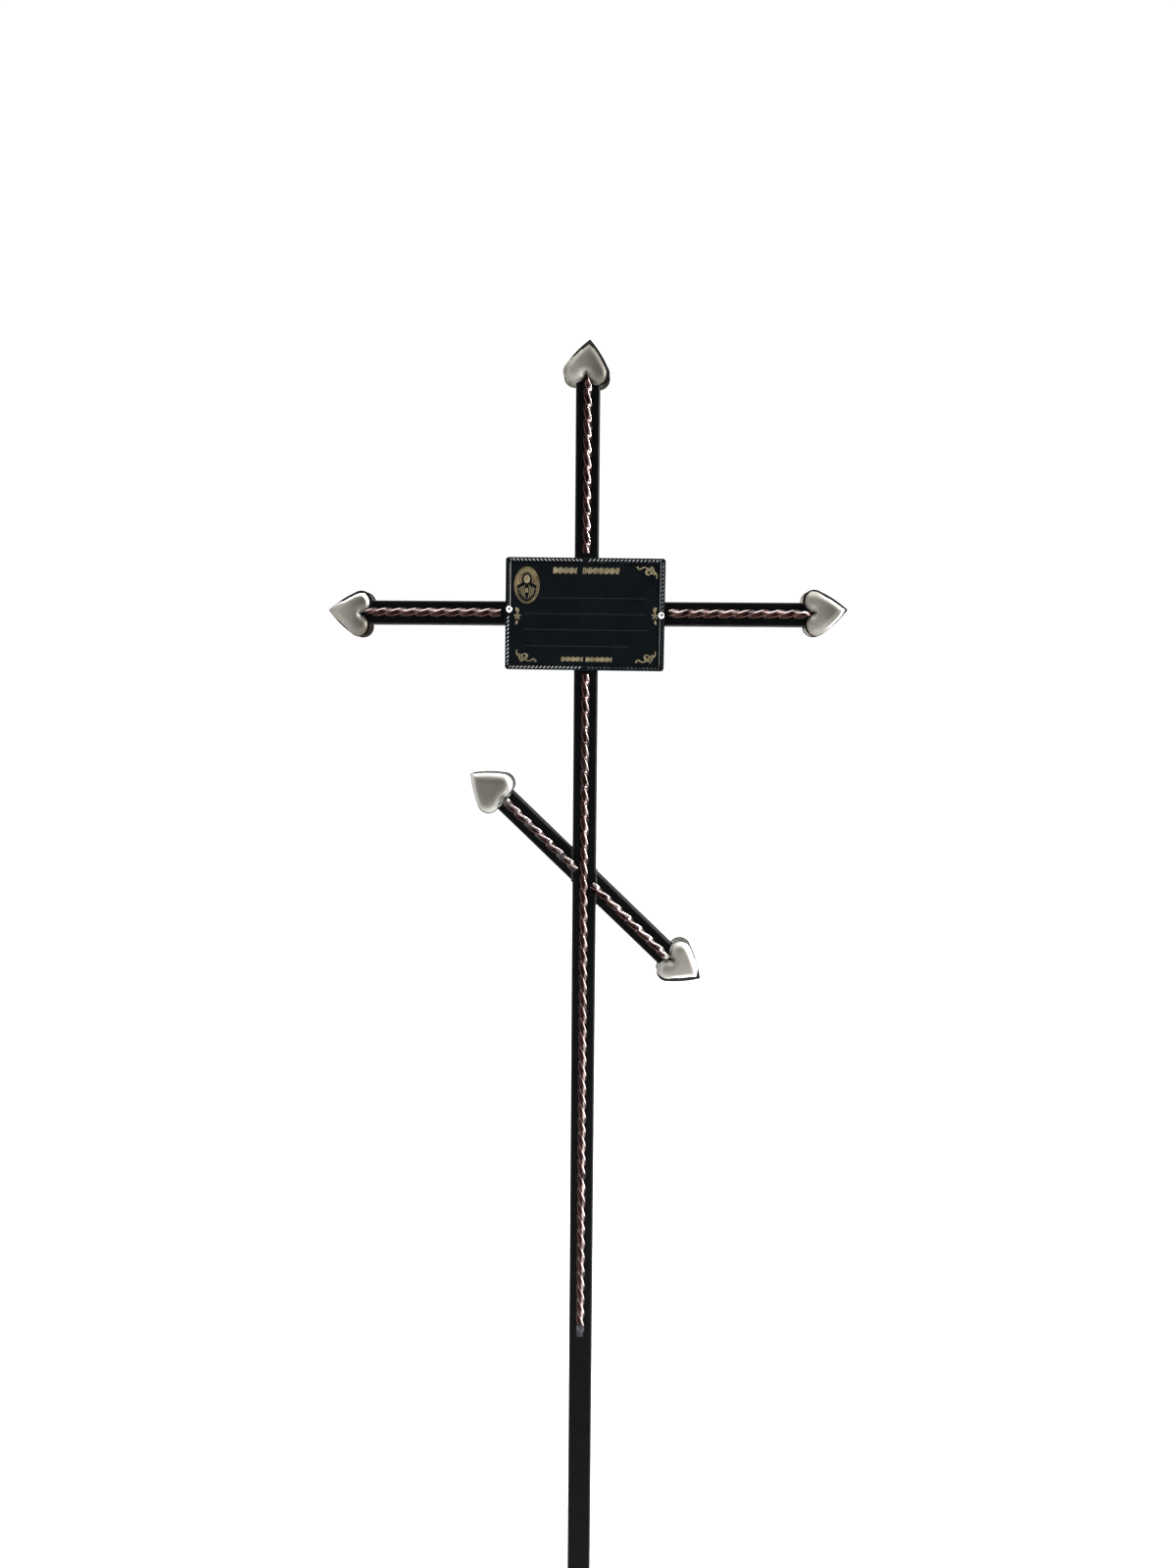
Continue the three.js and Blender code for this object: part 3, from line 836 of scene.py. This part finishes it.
def heart_surface(notch):
    """Rings of the pressed sheet from the rim to the centre, each as its inset and its points, with
    where each lies on the flat and how high it stands over the rim's plane."""
    outline = heart_outline(notch)
    centre = Vector((0, HEART_CENTRE - HEART_LENGTH))
    mean_radius = HEART_LENGTH / 2
    insets = [0.0, 0.3 * MM, 0.8 * MM, 1.2 * MM]
    insets += [LIP_WIDTH + (mean_radius - LIP_WIDTH) * (i / DOME_RINGS) ** 1.3 for i in range(DOME_RINGS)]
    top = soft_distance(centre, outline)
    inner_lip = 1 - LIP_WIDTH / mean_radius
    starts = [soft_distance(centre.lerp(point, inner_lip), outline) for point in outline]
    for _ in range(12):
        after = starts[1:] + starts[:1]
        starts = [(starts[i - 1] + start + after[i]) / 3 for i, start in enumerate(starts)]
    rings = []
    for inset in insets:
        share = 1 - inset / mean_radius
        roundness = smooth((1 - share - 0.25) / 0.75)
        ring = []
        for point, start in zip(outline, starts):
            way = point - centre
            flat = centre + way.lerp(way.normalized() * mean_radius * 0.8, roundness) * share
            if inset < LIP_WIDTH:
                rise = HEART_SHEET + (LIP_RISE - HEART_SHEET) * smooth(inset / LIP_WIDTH)
                rise -= SHEET_EDGE_ROUND if inset == 0 else 0.0
            else:
                up = min(max((soft_distance(flat, outline) - start) / (top - start), 0.0), 1.0)
                rise = LIP_RISE + (HEART_RISE - LIP_RISE) * (1 - (1 - up) ** DOME_POWER)
            ring.append((flat, rise))
        rings.append((inset, ring))
    rings.append((mean_radius, [(centre, HEART_RISE)]))
    return rings


HEART_SURFACES = {notch: heart_surface(notch) for notch in (NOTCH_DEPTH, FILLED_NOTCH_DEPTH)}


def patch_strength(bearing, patches):
    """Strongest of the patches round a rim at a bearing, each fading out over its spread."""
    strengths = [0.0]
    for middle, spread, strength in patches:
        away = abs((bearing - middle + 180) % 360 - 180)
        strengths.append(strength * smooth(1.5 - away / spread))
    return max(strengths)


def black_rim_width(bearing, patches):
    """How far in black covers the rim at a bearing: partly paint, partly painted shade."""
    width = max(patch_strength(bearing, patches), 0.25) * MM
    return width + 0.35 * MM * noise.noise(Vector((bearing / 9, width / MM, 0)))


def covers(width, place):
    """How far black of a width covers a place, with a soft edge, from 0 to 1."""
    return min(max(0.5 + (width - place) / (2.4 * MM), 0.0), 1.0)


def bevel_highlight(inset, start, width):
    """How strong the painted highlight on the bevel is at an inset: sharp-edged, or wide and fading out."""
    if inset < start - 0.5 * MM:
        return 0.0
    if width <= SHARP_BAND:
        return smooth((start + width - inset) / (0.7 * MM))
    return smooth(1 - (inset - start) / width) ** 1.4


def notch_black(flat, notch):
    """How far black covers a place along the middle of the notch between the lobes, from 0 to 1."""
    into = flat.y - (notch - HEART_LENGTH)
    half_width = NOTCH_BLACK_WIDTH * (1 - max(into, 0.0) / NOTCH_BLACK_LENGTH)
    return covers(half_width, abs(flat.x)) if notch == NOTCH_DEPTH else 0.0


def heart(name, side, degrees, look):
    """Pressed heart in place of its CAD node: side is front or back, degrees its turn from up."""
    node = f"{name}_heart_{side}"
    turned = limb_frame(0.0, degrees)
    left, right = span(node, turned, axis=0)
    tip = span(node, turned)[1]
    near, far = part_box(node)
    rim_y = far.y if side == "front" else near.y
    place = turned @ Matrix.Translation(((left + right) / 2, rim_y, tip))
    if side == "back":
        place = place @ Matrix.Rotation(math.pi, 4, "Z")
    shade_bearing, shade_strength = look.painted_shade
    notch = look.notch if side == "front" else NOTCH_DEPTH
    surface = HEART_SURFACES[notch]
    centre = surface[-1][1][0][0]
    points, marks = [], {"lip": [], "highlight_band": [], "painted_shade": [], "tube_shade": []}
    for inset, ring in surface:
        for flat, rise in ring:
            points.append(Vector((flat.x, -rise, flat.y)))
            way = flat - centre
            world = place.to_3x3() @ Vector((way.x, 0, way.y))
            bearing = math.degrees(math.atan2(world.x, world.z))
            # Black on the rim, partly paint and partly painted shade, with the bevel's painted highlight
            # inside it
            painted = black_rim_width(bearing, look.black if side == "front" else ())
            highlight_amount = bevel_highlight(inset, max(painted, LIP_WIDTH), look.highlight_width)
            # Painted shade on one side of the dome
            lean_to = math.cos(math.radians(bearing - shade_bearing)) * way.length / (HEART_LENGTH / 2)
            even = 1.0 if look.highlight_width == SOFT_BAND else smooth(0.42 + 0.62 * lean_to)
            marks["lip"].append(max(covers(painted, inset), notch_black(flat, notch)))
            marks["highlight_band"].append(highlight_amount * patch_strength(bearing, look.highlight_patches))
            marks["painted_shade"].append(shade_strength * even)
            # Brown painted shade towards the lobes
            marks["tube_shade"].append(look.tube_shade * smooth((-flat.y - TUBE_SHADE_FROM) / TUBE_SHADE_FADE))
    count = len(surface[0][1])
    _, faces = skin([points[i:i + count] for i in range(0, len(points) - 1, count)], "open")
    middle = len(points) - 1
    faces.extend((middle - count + i, middle - count + (i + 1) % count, middle) for i in range(count))
    piece = make_piece(f"pressed_{node}", points, faces, SATIN_NICKEL, place, marks, 60, closed=False)
    sheet = piece.modifiers.new("sheet", "SOLIDIFY")
    sheet.thickness = HEART_SHEET - SHEET_EDGE_ROUND
    sheet.offset = -1
    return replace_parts(piece, node)


def heart_welds(name):
    """Short beads that hold the hearts to the tube, and the grey welds at the slanted bar's ends."""
    place = LIMBS[name]
    bar_end = span("top_twisted_bar" if name == "top" else f"{name}_twisted_bar", place)[1]
    half_x, half_y = TUBE_WIDTH / 2, TUBE_DEPTH / 2
    shapes = []
    for face, seed in ((-1, 1.0), (1, 2.0)):
        for side in (-1, 1):
            along = bar_end + 5 * MM
            corner = Vector((side * (half_x - 0.5 * MM), face * (half_y + 0.2 * MM), along))
            end = corner + Vector((0, 0, 16 * MM))
            shapes.append(bead(corner, end, 1.5 * MM, seed + side * 5 + len(name)))
    welds(f"{name}_heart_weld", place, shapes, 0.25)
    if name == "upper_slant":
        lobes_end = span(f"{name}_heart_front", place)[0] + 1.5 * MM
        across = [Vector((side * (half_x - 2 * MM), -half_y - 0.8 * MM, lobes_end)) for side in (-1, 1)]
        welds(f"{name}_notch_weld", place, [bead(*across, 1.9 * MM, 7.0)], 1.0)
    if name == "lower_slant":
        lump = Vector((0.8 * MM, -half_y - 5.4 * MM, bar_end + 2 * MM))
        welds(f"{name}_notch_weld", place, [blob(lump, (3.9 * MM, 3.4 * MM, 5.2 * MM), 3.0, 18, 28)], 1.0)


def hearts():
    for name, look in HEARTS.items():
        for side in ("front", "back"):
            heart(name, side, JOINTS[name][1] + look.lean, look)
        heart_welds(name)


# Plaque

plaque_low, plaque_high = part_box("plaque")
PLAQUE_PLACE = Matrix.Translation((
    (plaque_low.x + plaque_high.x) / 2,
    plaque_high.y,
    (plaque_low.z + plaque_high.z) / 2,
)) @ Matrix.Rotation(math.radians(PLAQUE_TURN), 4, "Y")

# Rim from its outer wall inwards: share of its width, height, how far it belongs to the rope, and
# how far an edge there takes the painted highlight
RIM_PROFILE = (
    (0.00, 0.00, 0.0, 0.0),
    (0.00, 1.90, 0.0, 0.2),
    (0.02, 2.40, 0.0, 0.7),
    (0.06, 2.75, 0.0, 0.9),
    (0.11, 2.80, 0.0, 0.6),
    (0.15, 2.30, 0.0, 0.0),
    (0.20, 2.20, 0.0, 0.0),
    (0.26, 2.30, 0.45, 0.4),
    (0.34, 2.30, 0.78, 0.8),
    (0.43, 2.30, 0.96, 1.0),
    (0.50, 2.30, 1.00, 1.0),
    (0.57, 2.30, 0.96, 1.0),
    (0.66, 2.30, 0.78, 0.8),
    (0.74, 2.30, 0.45, 0.4),
    (0.80, 2.10, 0.0, 0.0),
    (0.85, 2.10, 0.0, 0.0),
    (0.89, 2.60, 0.0, 0.9),
    (0.94, 2.60, 0.0, 0.9),
    (0.98, 1.90, 0.0, 0.2),
    (1.00, 1.50, 0.0, 0.0),
)
ROPE_RISE = 1.7 * MM
STATION_STEP = 0.55 * MM


def rim_quarter():
    """Lines across the rim from the middle of the top edge to the middle of the right edge, each
    with its outer end, its inner end and where it lies on its rope strand."""
    half_x, half_z = PLAQUE_WIDTH / 2, PLAQUE_HEIGHT / 2
    inner_x, inner_z = half_x - RIM_WIDTH, half_z - RIM_WIDTH
    lines = []
    for inner, outer_limit, is_top in ((inner_x, half_x, True), (inner_z, half_z, False)):
        count = round(inner / STATION_STEP)
        strands = round(inner / STRAND_PITCH)
        stations = []
        for i in range(count):
            along = inner * i / count
            outer = min(along + RIM_WIDTH, outer_limit - PLAQUE_CORNER)
            stations.append((outer, along, strands * i / count))
        if is_top:
            lines.extend(((o, half_z), (a, inner_z), s) for o, a, s in stations)
            for i in range(9):
                angle = math.pi / 2 * (1 - i / 8)
                outer = (
                    half_x - PLAQUE_CORNER * (1 - math.cos(angle)),
                    half_z - PLAQUE_CORNER * (1 - math.sin(angle)),
                )
                lines.append((outer, (inner_x, inner_z), 0.0))
        else:
            lines.extend(((half_x, o), (inner_x, a), s) for o, a, s in reversed(stations))
    return lines


def rim_lines():
    """All four quarters of the rim in one turn."""
    quarter = rim_quarter()
    turned = list(reversed(quarter))

    def flip(lines, sign_x, sign_z):
        return [((o[0] * sign_x, o[1] * sign_z), (a[0] * sign_x, a[1] * sign_z), s) for o, a, s in lines]

    return turned + flip(quarter, -1, 1) + flip(turned, -1, -1) + flip(quarter, 1, -1)


# Painted highlight on the strands of each half edge, clockwise from the left half of the top
RIM_HIGHLIGHT = {
    ("top", -1): 0.95,
    ("top", 1): 0.80,
    ("right", 1): 0.60,
    ("right", -1): 0.15,
    ("bottom", 1): 0.45,
    ("bottom", -1): 1.00,
    ("left", -1): 0.95,
    ("left", 1): 0.30,
}


# Painted highlight on the raised inner edge of the rim, where it is
INNER_EDGE_HIGHLIGHT = {("right", 1): 1.0, ("right", -1): 0.9, ("left", 1): 0.9, ("top", 1): 0.35}


def half_edge(outer):
    """Which half edge a place on the plaque's outer edge belongs to."""
    x, z = outer
    if abs(z) / PLAQUE_HEIGHT > abs(x) / PLAQUE_WIDTH:
        return "top" if z > 0 else "bottom", 1 if x > 0 else -1
    return "right" if x > 0 else "left", 1 if z > 0 else -1


def plaque_plate():
    lines = rim_lines()
    loops, edge = [], []
    for share, height, rope, edge_highlight in RIM_PROFILE:
        loop = []
        for outer, inner, strand in lines:
            ridge = abs(math.sin(math.pi * strand)) ** 0.55
            rise = height * MM + ROPE_RISE * rope * (0.25 + 0.75 * ridge)
            x = outer[0] + (inner[0] - outer[0]) * share
            z = outer[1] + (inner[1] - outer[1]) * share
            loop.append(Vector((x, -rise, z)))
            # Painted highlight on the strand crests and the inner edge, stronger on some half edges
            if rope:
                edge.append(edge_highlight * RIM_HIGHLIGHT[half_edge(outer)] * ridge ** 9)
            else:
                highlight_amount = INNER_EDGE_HIGHLIGHT.get(half_edge(outer), 0.15) if share > 0.5 else 0.35
                edge.append(edge_highlight * highlight_amount)
        loops.append(loop)
    points, faces = skin(loops)
    piece = make_piece("enamelled_plaque", points, faces, PLAQUE_ENAMEL, PLAQUE_PLACE, {"edge": edge}, 50)
    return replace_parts(piece, "plaque")


def plaque_screws():
    """Domed heads, each with a small dark recess, and their shanks."""
    dome = [(SCREW_HEAD, 0.0), (SCREW_HEAD, 0.45 * MM)]
    for i in range(1, 9):
        angle = math.pi / 2 * i / 8
        radius = SCREW_HEAD - (SCREW_HEAD - SCREW_HOLE) * (1 - math.cos(angle))
        dome.append((radius, 0.45 * MM + (SCREW_RISE - 0.45 * MM) * math.sin(angle)))
    hole = [(SCREW_HOLE - 0.15 * MM, SCREW_RISE - 0.15 * MM), (SCREW_HOLE * 0.75, SCREW_RISE - 0.8 * MM)]
    shank = [(2 * MM, -8 * MM), (2 * MM, 0.0)]
    sides = 40
    for node in ("left_plaque_screw", "right_plaque_screw"):
        low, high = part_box(node)
        seat = low.y + SCREW_RISE
        place = Matrix.Translation(((low.x + high.x) / 2, seat, (low.z + high.z) / 2))
        loops, edge = [], []
        for radius, rise in shank + dome + hole:
            turns = [2 * math.pi * k / sides for k in range(sides)]
            loops.append([Vector((radius * math.cos(a), -rise, radius * math.sin(a))) for a in turns])
            # The recess's points carry the painted shade
            edge.extend([1.0 if (radius, rise) in hole else 0.0] * sides)
        points, faces = skin(loops)
        piece = make_piece(f"domed_{node}", points, faces, SCREW_STEEL, place, {"edge": edge})
        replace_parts(piece, node)


# Print on the plaque, in millimetres from the plaque's middle, as thin flat shapes

def flat_shape(outline, layer=0):
    """Thin slab with an outline, printed as one layer over the field."""
    base = PLAQUE_SHEET + PRINT_RISE * (layer - 0.5)
    top = PLAQUE_SHEET + PRINT_RISE * (layer + 1)
    loops = [[Vector((x * MM, -rise, z * MM)) for x, z in outline] for rise in (base, top)]
    return skin(loops)


def line_shape(path, width, layer=0):
    """Printed line along a path, thinner towards its ends where width is a pair."""
    middle_width, end_width = width if isinstance(width, tuple) else (width, width)
    base = PLAQUE_SHEET + PRINT_RISE * (layer - 0.5)
    top = PLAQUE_SHEET + PRINT_RISE * (layer + 1)
    loops = []
    for i, (x, z) in enumerate(path):
        before, after = path[max(i - 1, 0)], path[min(i + 1, len(path) - 1)]
        way = Vector((after[0] - before[0], after[1] - before[1])).normalized()
        bow = math.sin(math.pi * i / (len(path) - 1))
        half = (end_width + (middle_width - end_width) * bow) / 2
        side = Vector((-way.y, way.x)) * half
        corners = ((x + side.x, z + side.y, base), (x - side.x, z - side.y, base))
        corners += ((x - side.x, z - side.y, top), (x + side.x, z + side.y, top))
        loops.append([Vector((cx * MM, -rise, cz * MM)) for cx, cz, rise in corners])
    return skin(loops)


def oval(centre_x, centre_z, half_width, half_height, steps=48, tilt=0.0):
    """Outline of an oval, tilted in degrees."""
    cosine, sine = math.cos(math.radians(tilt)), math.sin(math.radians(tilt))
    outline = []
    for i in range(steps):
        x = half_width * math.cos(2 * math.pi * i / steps)
        z = half_height * math.sin(2 * math.pi * i / steps)
        outline.append((centre_x + x * cosine - z * sine, centre_z + x * sine + z * cosine))
    return outline


def curve(start, pull, end, steps=12):
    """Path of a smooth bend between two points, drawn towards a third."""
    path = []
    for i in range(steps + 1):
        share = i / steps
        path.append(tuple(
            start[k] * (1 - share) ** 2 + 2 * pull[k] * share * (1 - share) + end[k] * share ** 2
            for k in range(2)
        ))
    return path


def print_piece(name, shapes, finish):
    parts = [(points, faces, {}) for points, faces in shapes]
    points, faces, _ = gather(parts)
    return make_piece(name, points, faces, finish, PLAQUE_PLACE, sharp=30)


def stroke_row(left, right, foot, height, pitch=2.35, lean=0.9):
    """Row of slanted strokes in place of an inscription, long and short in turn."""
    shapes = []
    count = round((right - left) / pitch)
    for i in range(count):
        x = left + (right - left) * (i + 0.5) / count
        short = (i * 5) % 3 == 1
        low = foot + (height * 0.18 if short else 0.0)
        high = foot + height * (0.82 if short else 1.0)
        half = 0.78
        outline = [(x - half, low), (x + half, low), (x + half + lean, high), (x - half + lean, high)]
        shapes.append(flat_shape(outline))
    return shapes


def inscriptions():
    header = stroke_row(-41.0, -11.0, 50.2, 7.6) + stroke_row(-4.0, 42.0, 50.2, 7.6)
    footer = stroke_row(-29.5, -2.0, -59.0, 5.6, 2.1, 0.6) + stroke_row(1.5, 34.5, -59.0, 5.6, 2.1, 0.6)
    print_piece("header_strokes", header, GOLD_PRINT)
    print_piece("footer_strokes", footer, GOLD_PRINT)


DOTTED_ROWS = ((20.0, -55.5, 76.0), (0.2, -75.0, 75.5), (-19.6, -75.0, 76.5), (-40.0, -74.5, 54.0))
DOT_PITCH = 3.1
DOT_WIDTH = 1.9
DOT_HEIGHT = 0.9


def dotted_rows():
    shapes = []
    for level, left, right in DOTTED_ROWS:
        count = round((right - left) / DOT_PITCH)
        for i in range(count + 1):
            x = left + (right - left) * i / count
            shapes.append(flat_shape(oval(x, level, DOT_WIDTH / 2, DOT_HEIGHT / 2, steps=8)))
    print_piece("dotted_rows", shapes, FAINT_PRINT)


def corner_scroll(corner_x, corner_z, side_x, side_z):
    """Flourish in one corner: a flower, a leaf loop and a tail along the edge. side_x and side_z say
    which way it runs into the field."""
    def put(path):
        return [(corner_x + side_x * x, corner_z + side_z * z) for x, z in path]

    shapes = []
    for turn in (-60, -5, 50, 105):
        angle = math.radians(turn)
        centre = (7.2 + 2.9 * math.cos(angle), 5.6 + 2.9 * math.sin(angle))
        petal = oval(centre[0], centre[1], 2.5, 1.05, 18, turn)
        shapes.append(line_shape(put(petal + petal[:1]), 0.8))
    shapes.append(flat_shape(put(oval(7.0, 5.6, 1.1, 1.1, 14)), 1))
    leaf = curve((8.5, 3.0), (16.0, 2.2), (16.8, 8.0)) + curve((16.8, 8.0), (14.8, 13.5), (9.5, 8.2))[1:]
    shapes.append(line_shape(put(leaf), (1.35, 0.7)))
    shapes.append(line_shape(put(curve((11.0, 5.0), (14.5, 4.5), (15.2, 9.5))), (0.9, 0.5)))
    tail = curve((14.0, 3.2), (19.0, 0.2), (22.5, 3.4)) + curve((22.5, 3.4), (25.5, 5.6), (27.3, 1.8))[1:]
    shapes.append(line_shape(put(tail), (1.3, 0.8)))
    shapes.append(flat_shape(put(oval(27.0, 1.8, 1.5, 1.0, 14, 20))))
    shapes.append(line_shape(put(curve((5.0, 8.0), (1.6, 10.5), (3.4, 15.5))), (1.2, 0.6)))
    return shapes


def side_ornament(centre_x, centre_z, side_x):
    """Small upright ornament beside a screw: a bud over a flower over a drop."""
    shapes = [flat_shape(oval(centre_x, centre_z, 1.5, 1.5, 18))]
    for turn in range(0, 360, 72):
        angle = math.radians(turn + 18)
        x, z = centre_x + 3.0 * math.cos(angle), centre_z + 3.0 * math.sin(angle)
        shapes.append(flat_shape(oval(x, z, 1.6, 1.05, 16, turn + 18)))
    shapes.append(flat_shape(oval(centre_x - side_x * 0.8, centre_z + 8.0, 1.2, 3.0, 18, 12 * side_x)))
    shapes.append(flat_shape(oval(centre_x - side_x * 0.8, centre_z - 8.0, 1.3, 2.7, 18, -12 * side_x)))
    pull = (centre_x + side_x * 3.8, centre_z + 7.5)
    stem = curve((centre_x, centre_z + 10.6), pull, (centre_x, centre_z + 3.2))
    shapes.append(line_shape(stem, (0.9, 0.5)))
    return shapes


def ornaments():
    shapes = corner_scroll(92.0, 60.5, -1, -1)
    shapes += corner_scroll(-88.5, -60.8, 1, 1)
    shapes += corner_scroll(92.0, -60.5, -1, 1)
    print_piece("corner_scrolls", shapes, GOLD_PRINT)
    sides = side_ornament(-85.0, -3.2, 1) + side_ornament(87.6, -1.2, -1)
    print_piece("side_ornaments", sides, GOLD_PRINT)


MEDALLION = (-73.3, 35.3)
MEDALLION_HALF = (15.9, 22.8)


def medallion():
    """Oval picture of a plain hooded figure with joined hands, nobody in particular."""
    middle_x, middle_z = MEDALLION
    half_x, half_z = MEDALLION_HALF

    def put(path):
        return [(middle_x + x, middle_z + z) for x, z in path]

    ground = [flat_shape(put(oval(0, 0, half_x, half_z, 72)))]
    rim = oval(0, 0, half_x - 1.7, half_z - 1.7, 72)
    dark = [line_shape(put(rim + rim[:1]), 0.55, 1)]
    halo = oval(0, 7.2, 9.0, 9.0, 40)
    dark.append(line_shape(put(halo + halo[:1]), 0.6, 1))
    mantle = []
    for i in range(41):
        angle = math.pi * (1.0 + i / 40)
        mantle.append(((half_x - 2.6) * math.cos(angle) * 0.93, (half_z - 2.6) * math.sin(angle)))
    shoulders = curve((12.4, 0.0), (11.0, -0.5), (6.0, 3.0))
    shoulders += curve((6.0, 3.0), (8.0, 14.5), (0.0, 15.2))[1:]
    hood = mantle + shoulders + [(-x, z) for x, z in reversed(shoulders[:-1])]
    dark.append(flat_shape(put(hood), 1))
    light = [flat_shape(put(oval(0, 7.6, 3.9, 5.2, 32)), 2)]
    for side in (-1, 1):
        for bend in range(4):
            top = (side * (2.4 + 1.9 * bend), 0.6 - 1.1 * bend)
            foot = (side * (1.2 + 2.9 * bend), -17.5 + 1.6 * bend * bend * 0.9)
            pull = (side * (5.4 + 2.2 * bend), -8.0)
            light.append(line_shape(put(curve(top, pull, foot)), (0.85, 0.3), 2))
        light.append(flat_shape(put(oval(side * 0.75, -6.4, 0.95, 3.1, 20, side * 10)), 2))
    features = []
    for side in (-1, 1):
        eye = curve((side * 0.7, 8.3), (side * 1.4, 8.0), (side * 2.2, 8.3), 6)
        brow = curve((side * 0.6, 9.5), (side * 1.5, 9.9), (side * 2.3, 9.3), 6)
        features.append(line_shape(put(eye), 0.38, 3))
        features.append(line_shape(put(brow), 0.3, 3))
    features.append(line_shape(put([(0.0, 8.4), (0.0, 6.9), (0.15, 6.4)]), 0.32, 3))
    features.append(line_shape(put(curve((-0.9, 5.2), (0.0, 4.95), (0.9, 5.2), 6)), 0.4, 3))
    print_piece("medallion_ground", ground, OLD_GOLD)
    print_piece("medallion_mantle", dark, PLAQUE_ENAMEL)
    print_piece("medallion_figure", light, GOLD_PRINT)
    print_piece("medallion_features", features, PLAQUE_ENAMEL)


def plaque():
    plaque_plate()
    plaque_screws()
    inscriptions()
    dotted_rows()
    ornaments()
    medallion()


# Stage: floor, light and camera

def floor():
    """Plain pale floor, wide enough to run to the horizon."""
    material, make, shader = new_finish("pale_floor", {"Specular IOR Level": 0.1})
    mottle = make.effect(MOTTLE, Scale=3.0, Pebble=300.0)
    pale = make.colour(mottle["Cloud"], (0.97, 0.97, 0.97, 1), (0.985, 0.985, 0.985, 1))
    rough = make.between(mottle["Cloud"], 0.0, 1.0, 0.8, 0.9)
    join_finish(make, shader, pale, rough)
    half, thickness = 60.0, 0.02
    loops = []
    for height in (-thickness, 0.0):
        corners = ((half, half), (-half, half), (-half, -half), (half, -half))
        loops.append([Vector((x, y, height)) for x, y in corners])
    points, faces = skin(loops)
    mesh = bpy.data.meshes.new("pale_floor")
    mesh.from_pydata([tuple(point) for point in points], [], faces)
    mesh.materials.append(material)
    plane = bpy.data.objects.new("pale_floor", mesh)
    bpy.context.scene.collection.objects.link(plane)


def room_light():
    """Pale surroundings: white as the camera sees them, and for the light they give bright
    overhead and on the left, dimmer behind, dimmest on the right."""
    world = bpy.data.worlds.new("pale_room")
    bpy.context.scene.world = world
    world.use_nodes = True
    make = Finish(world.node_tree)
    across, depth, height = make.add("SeparateXYZ", {0: make.add("TexCoord").outputs["Generated"]}).outputs
    front = make.between(across, -1.0, 0.6, 1.0, 0.12)
    behind = make.between(depth, -0.25, 0.4)
    around = make.add("Mix", {0: behind, 2: front, 3: 0.35}).outputs[0]
    overhead = make.between(height, 0.45, 0.95, 0.0, 1.6)
    level = make.add("Math", {0: around, 1: overhead}, operation="ADD").outputs[0]
    seen = make.add("LightPath").outputs["Is Camera Ray"]
    shown = make.add("Mix", {0: seen, 2: level, 3: 1.1}).outputs[0]
    background = world.node_tree.nodes["Background"]
    world.node_tree.links.new(shown, background.inputs["Strength"])
    background.inputs["Color"].default_value = (1.0, 1.0, 0.99, 1)


def soft_box(name, place, aim, width, height, watts):
    """Rectangular soft light that faces a point."""
    light = bpy.data.lights.new(name, "AREA")
    light.shape = "RECTANGLE"
    light.size = width
    light.size_y = height
    light.energy = watts
    lamp = bpy.data.objects.new(name, light)
    bpy.context.scene.collection.objects.link(lamp)
    lamp.location = place
    lamp.rotation_euler = (Vector(aim) - Vector(place)).to_track_quat("-Z", "Y").to_euler()
    lamp.visible_camera = False


def lights():
    middle = (0.0, 0.0, 1.25)
    soft_box("left_soft_box", (-2.2, -1.3, 1.7), middle, 1.4, 2.2, 9)
    soft_box("right_strip", (2.3, -0.7, 2.1), middle, 0.3, 2.4, 170)
    soft_box("overhead_soft_box", (0.0, -0.2, 3.6), middle, 3.0, 2.0, 45)


def camera():
    """Camera at the photo's viewing angle."""
    yaw, pitch = CAMERA_YAW, CAMERA_PITCH
    forward = Vector((math.sin(yaw) * math.cos(pitch), math.cos(yaw) * math.cos(pitch), math.sin(pitch)))
    level = Vector((math.cos(yaw), -math.sin(yaw), 0))
    upright = level.cross(forward)
    right = math.cos(CAMERA_ROLL) * level + math.sin(CAMERA_ROLL) * upright
    up = math.cos(CAMERA_ROLL) * upright - math.sin(CAMERA_ROLL) * level
    lens = bpy.data.cameras.new("photo_camera")
    lens.lens = CAMERA_LENS
    lens.sensor_width = 36
    view = bpy.data.objects.new("photo_camera", lens)
    bpy.context.scene.collection.objects.link(view)
    turn = Matrix((right, up, -forward)).transposed().to_4x4()
    view.matrix_world = Matrix.Translation(CAMERA_PLACE) @ turn
    bpy.context.scene.camera = view


tubes()
bars()
hearts()
plaque()
floor()
room_light()
lights()
camera()
bpy.context.scene.view_settings.view_transform = "Standard"
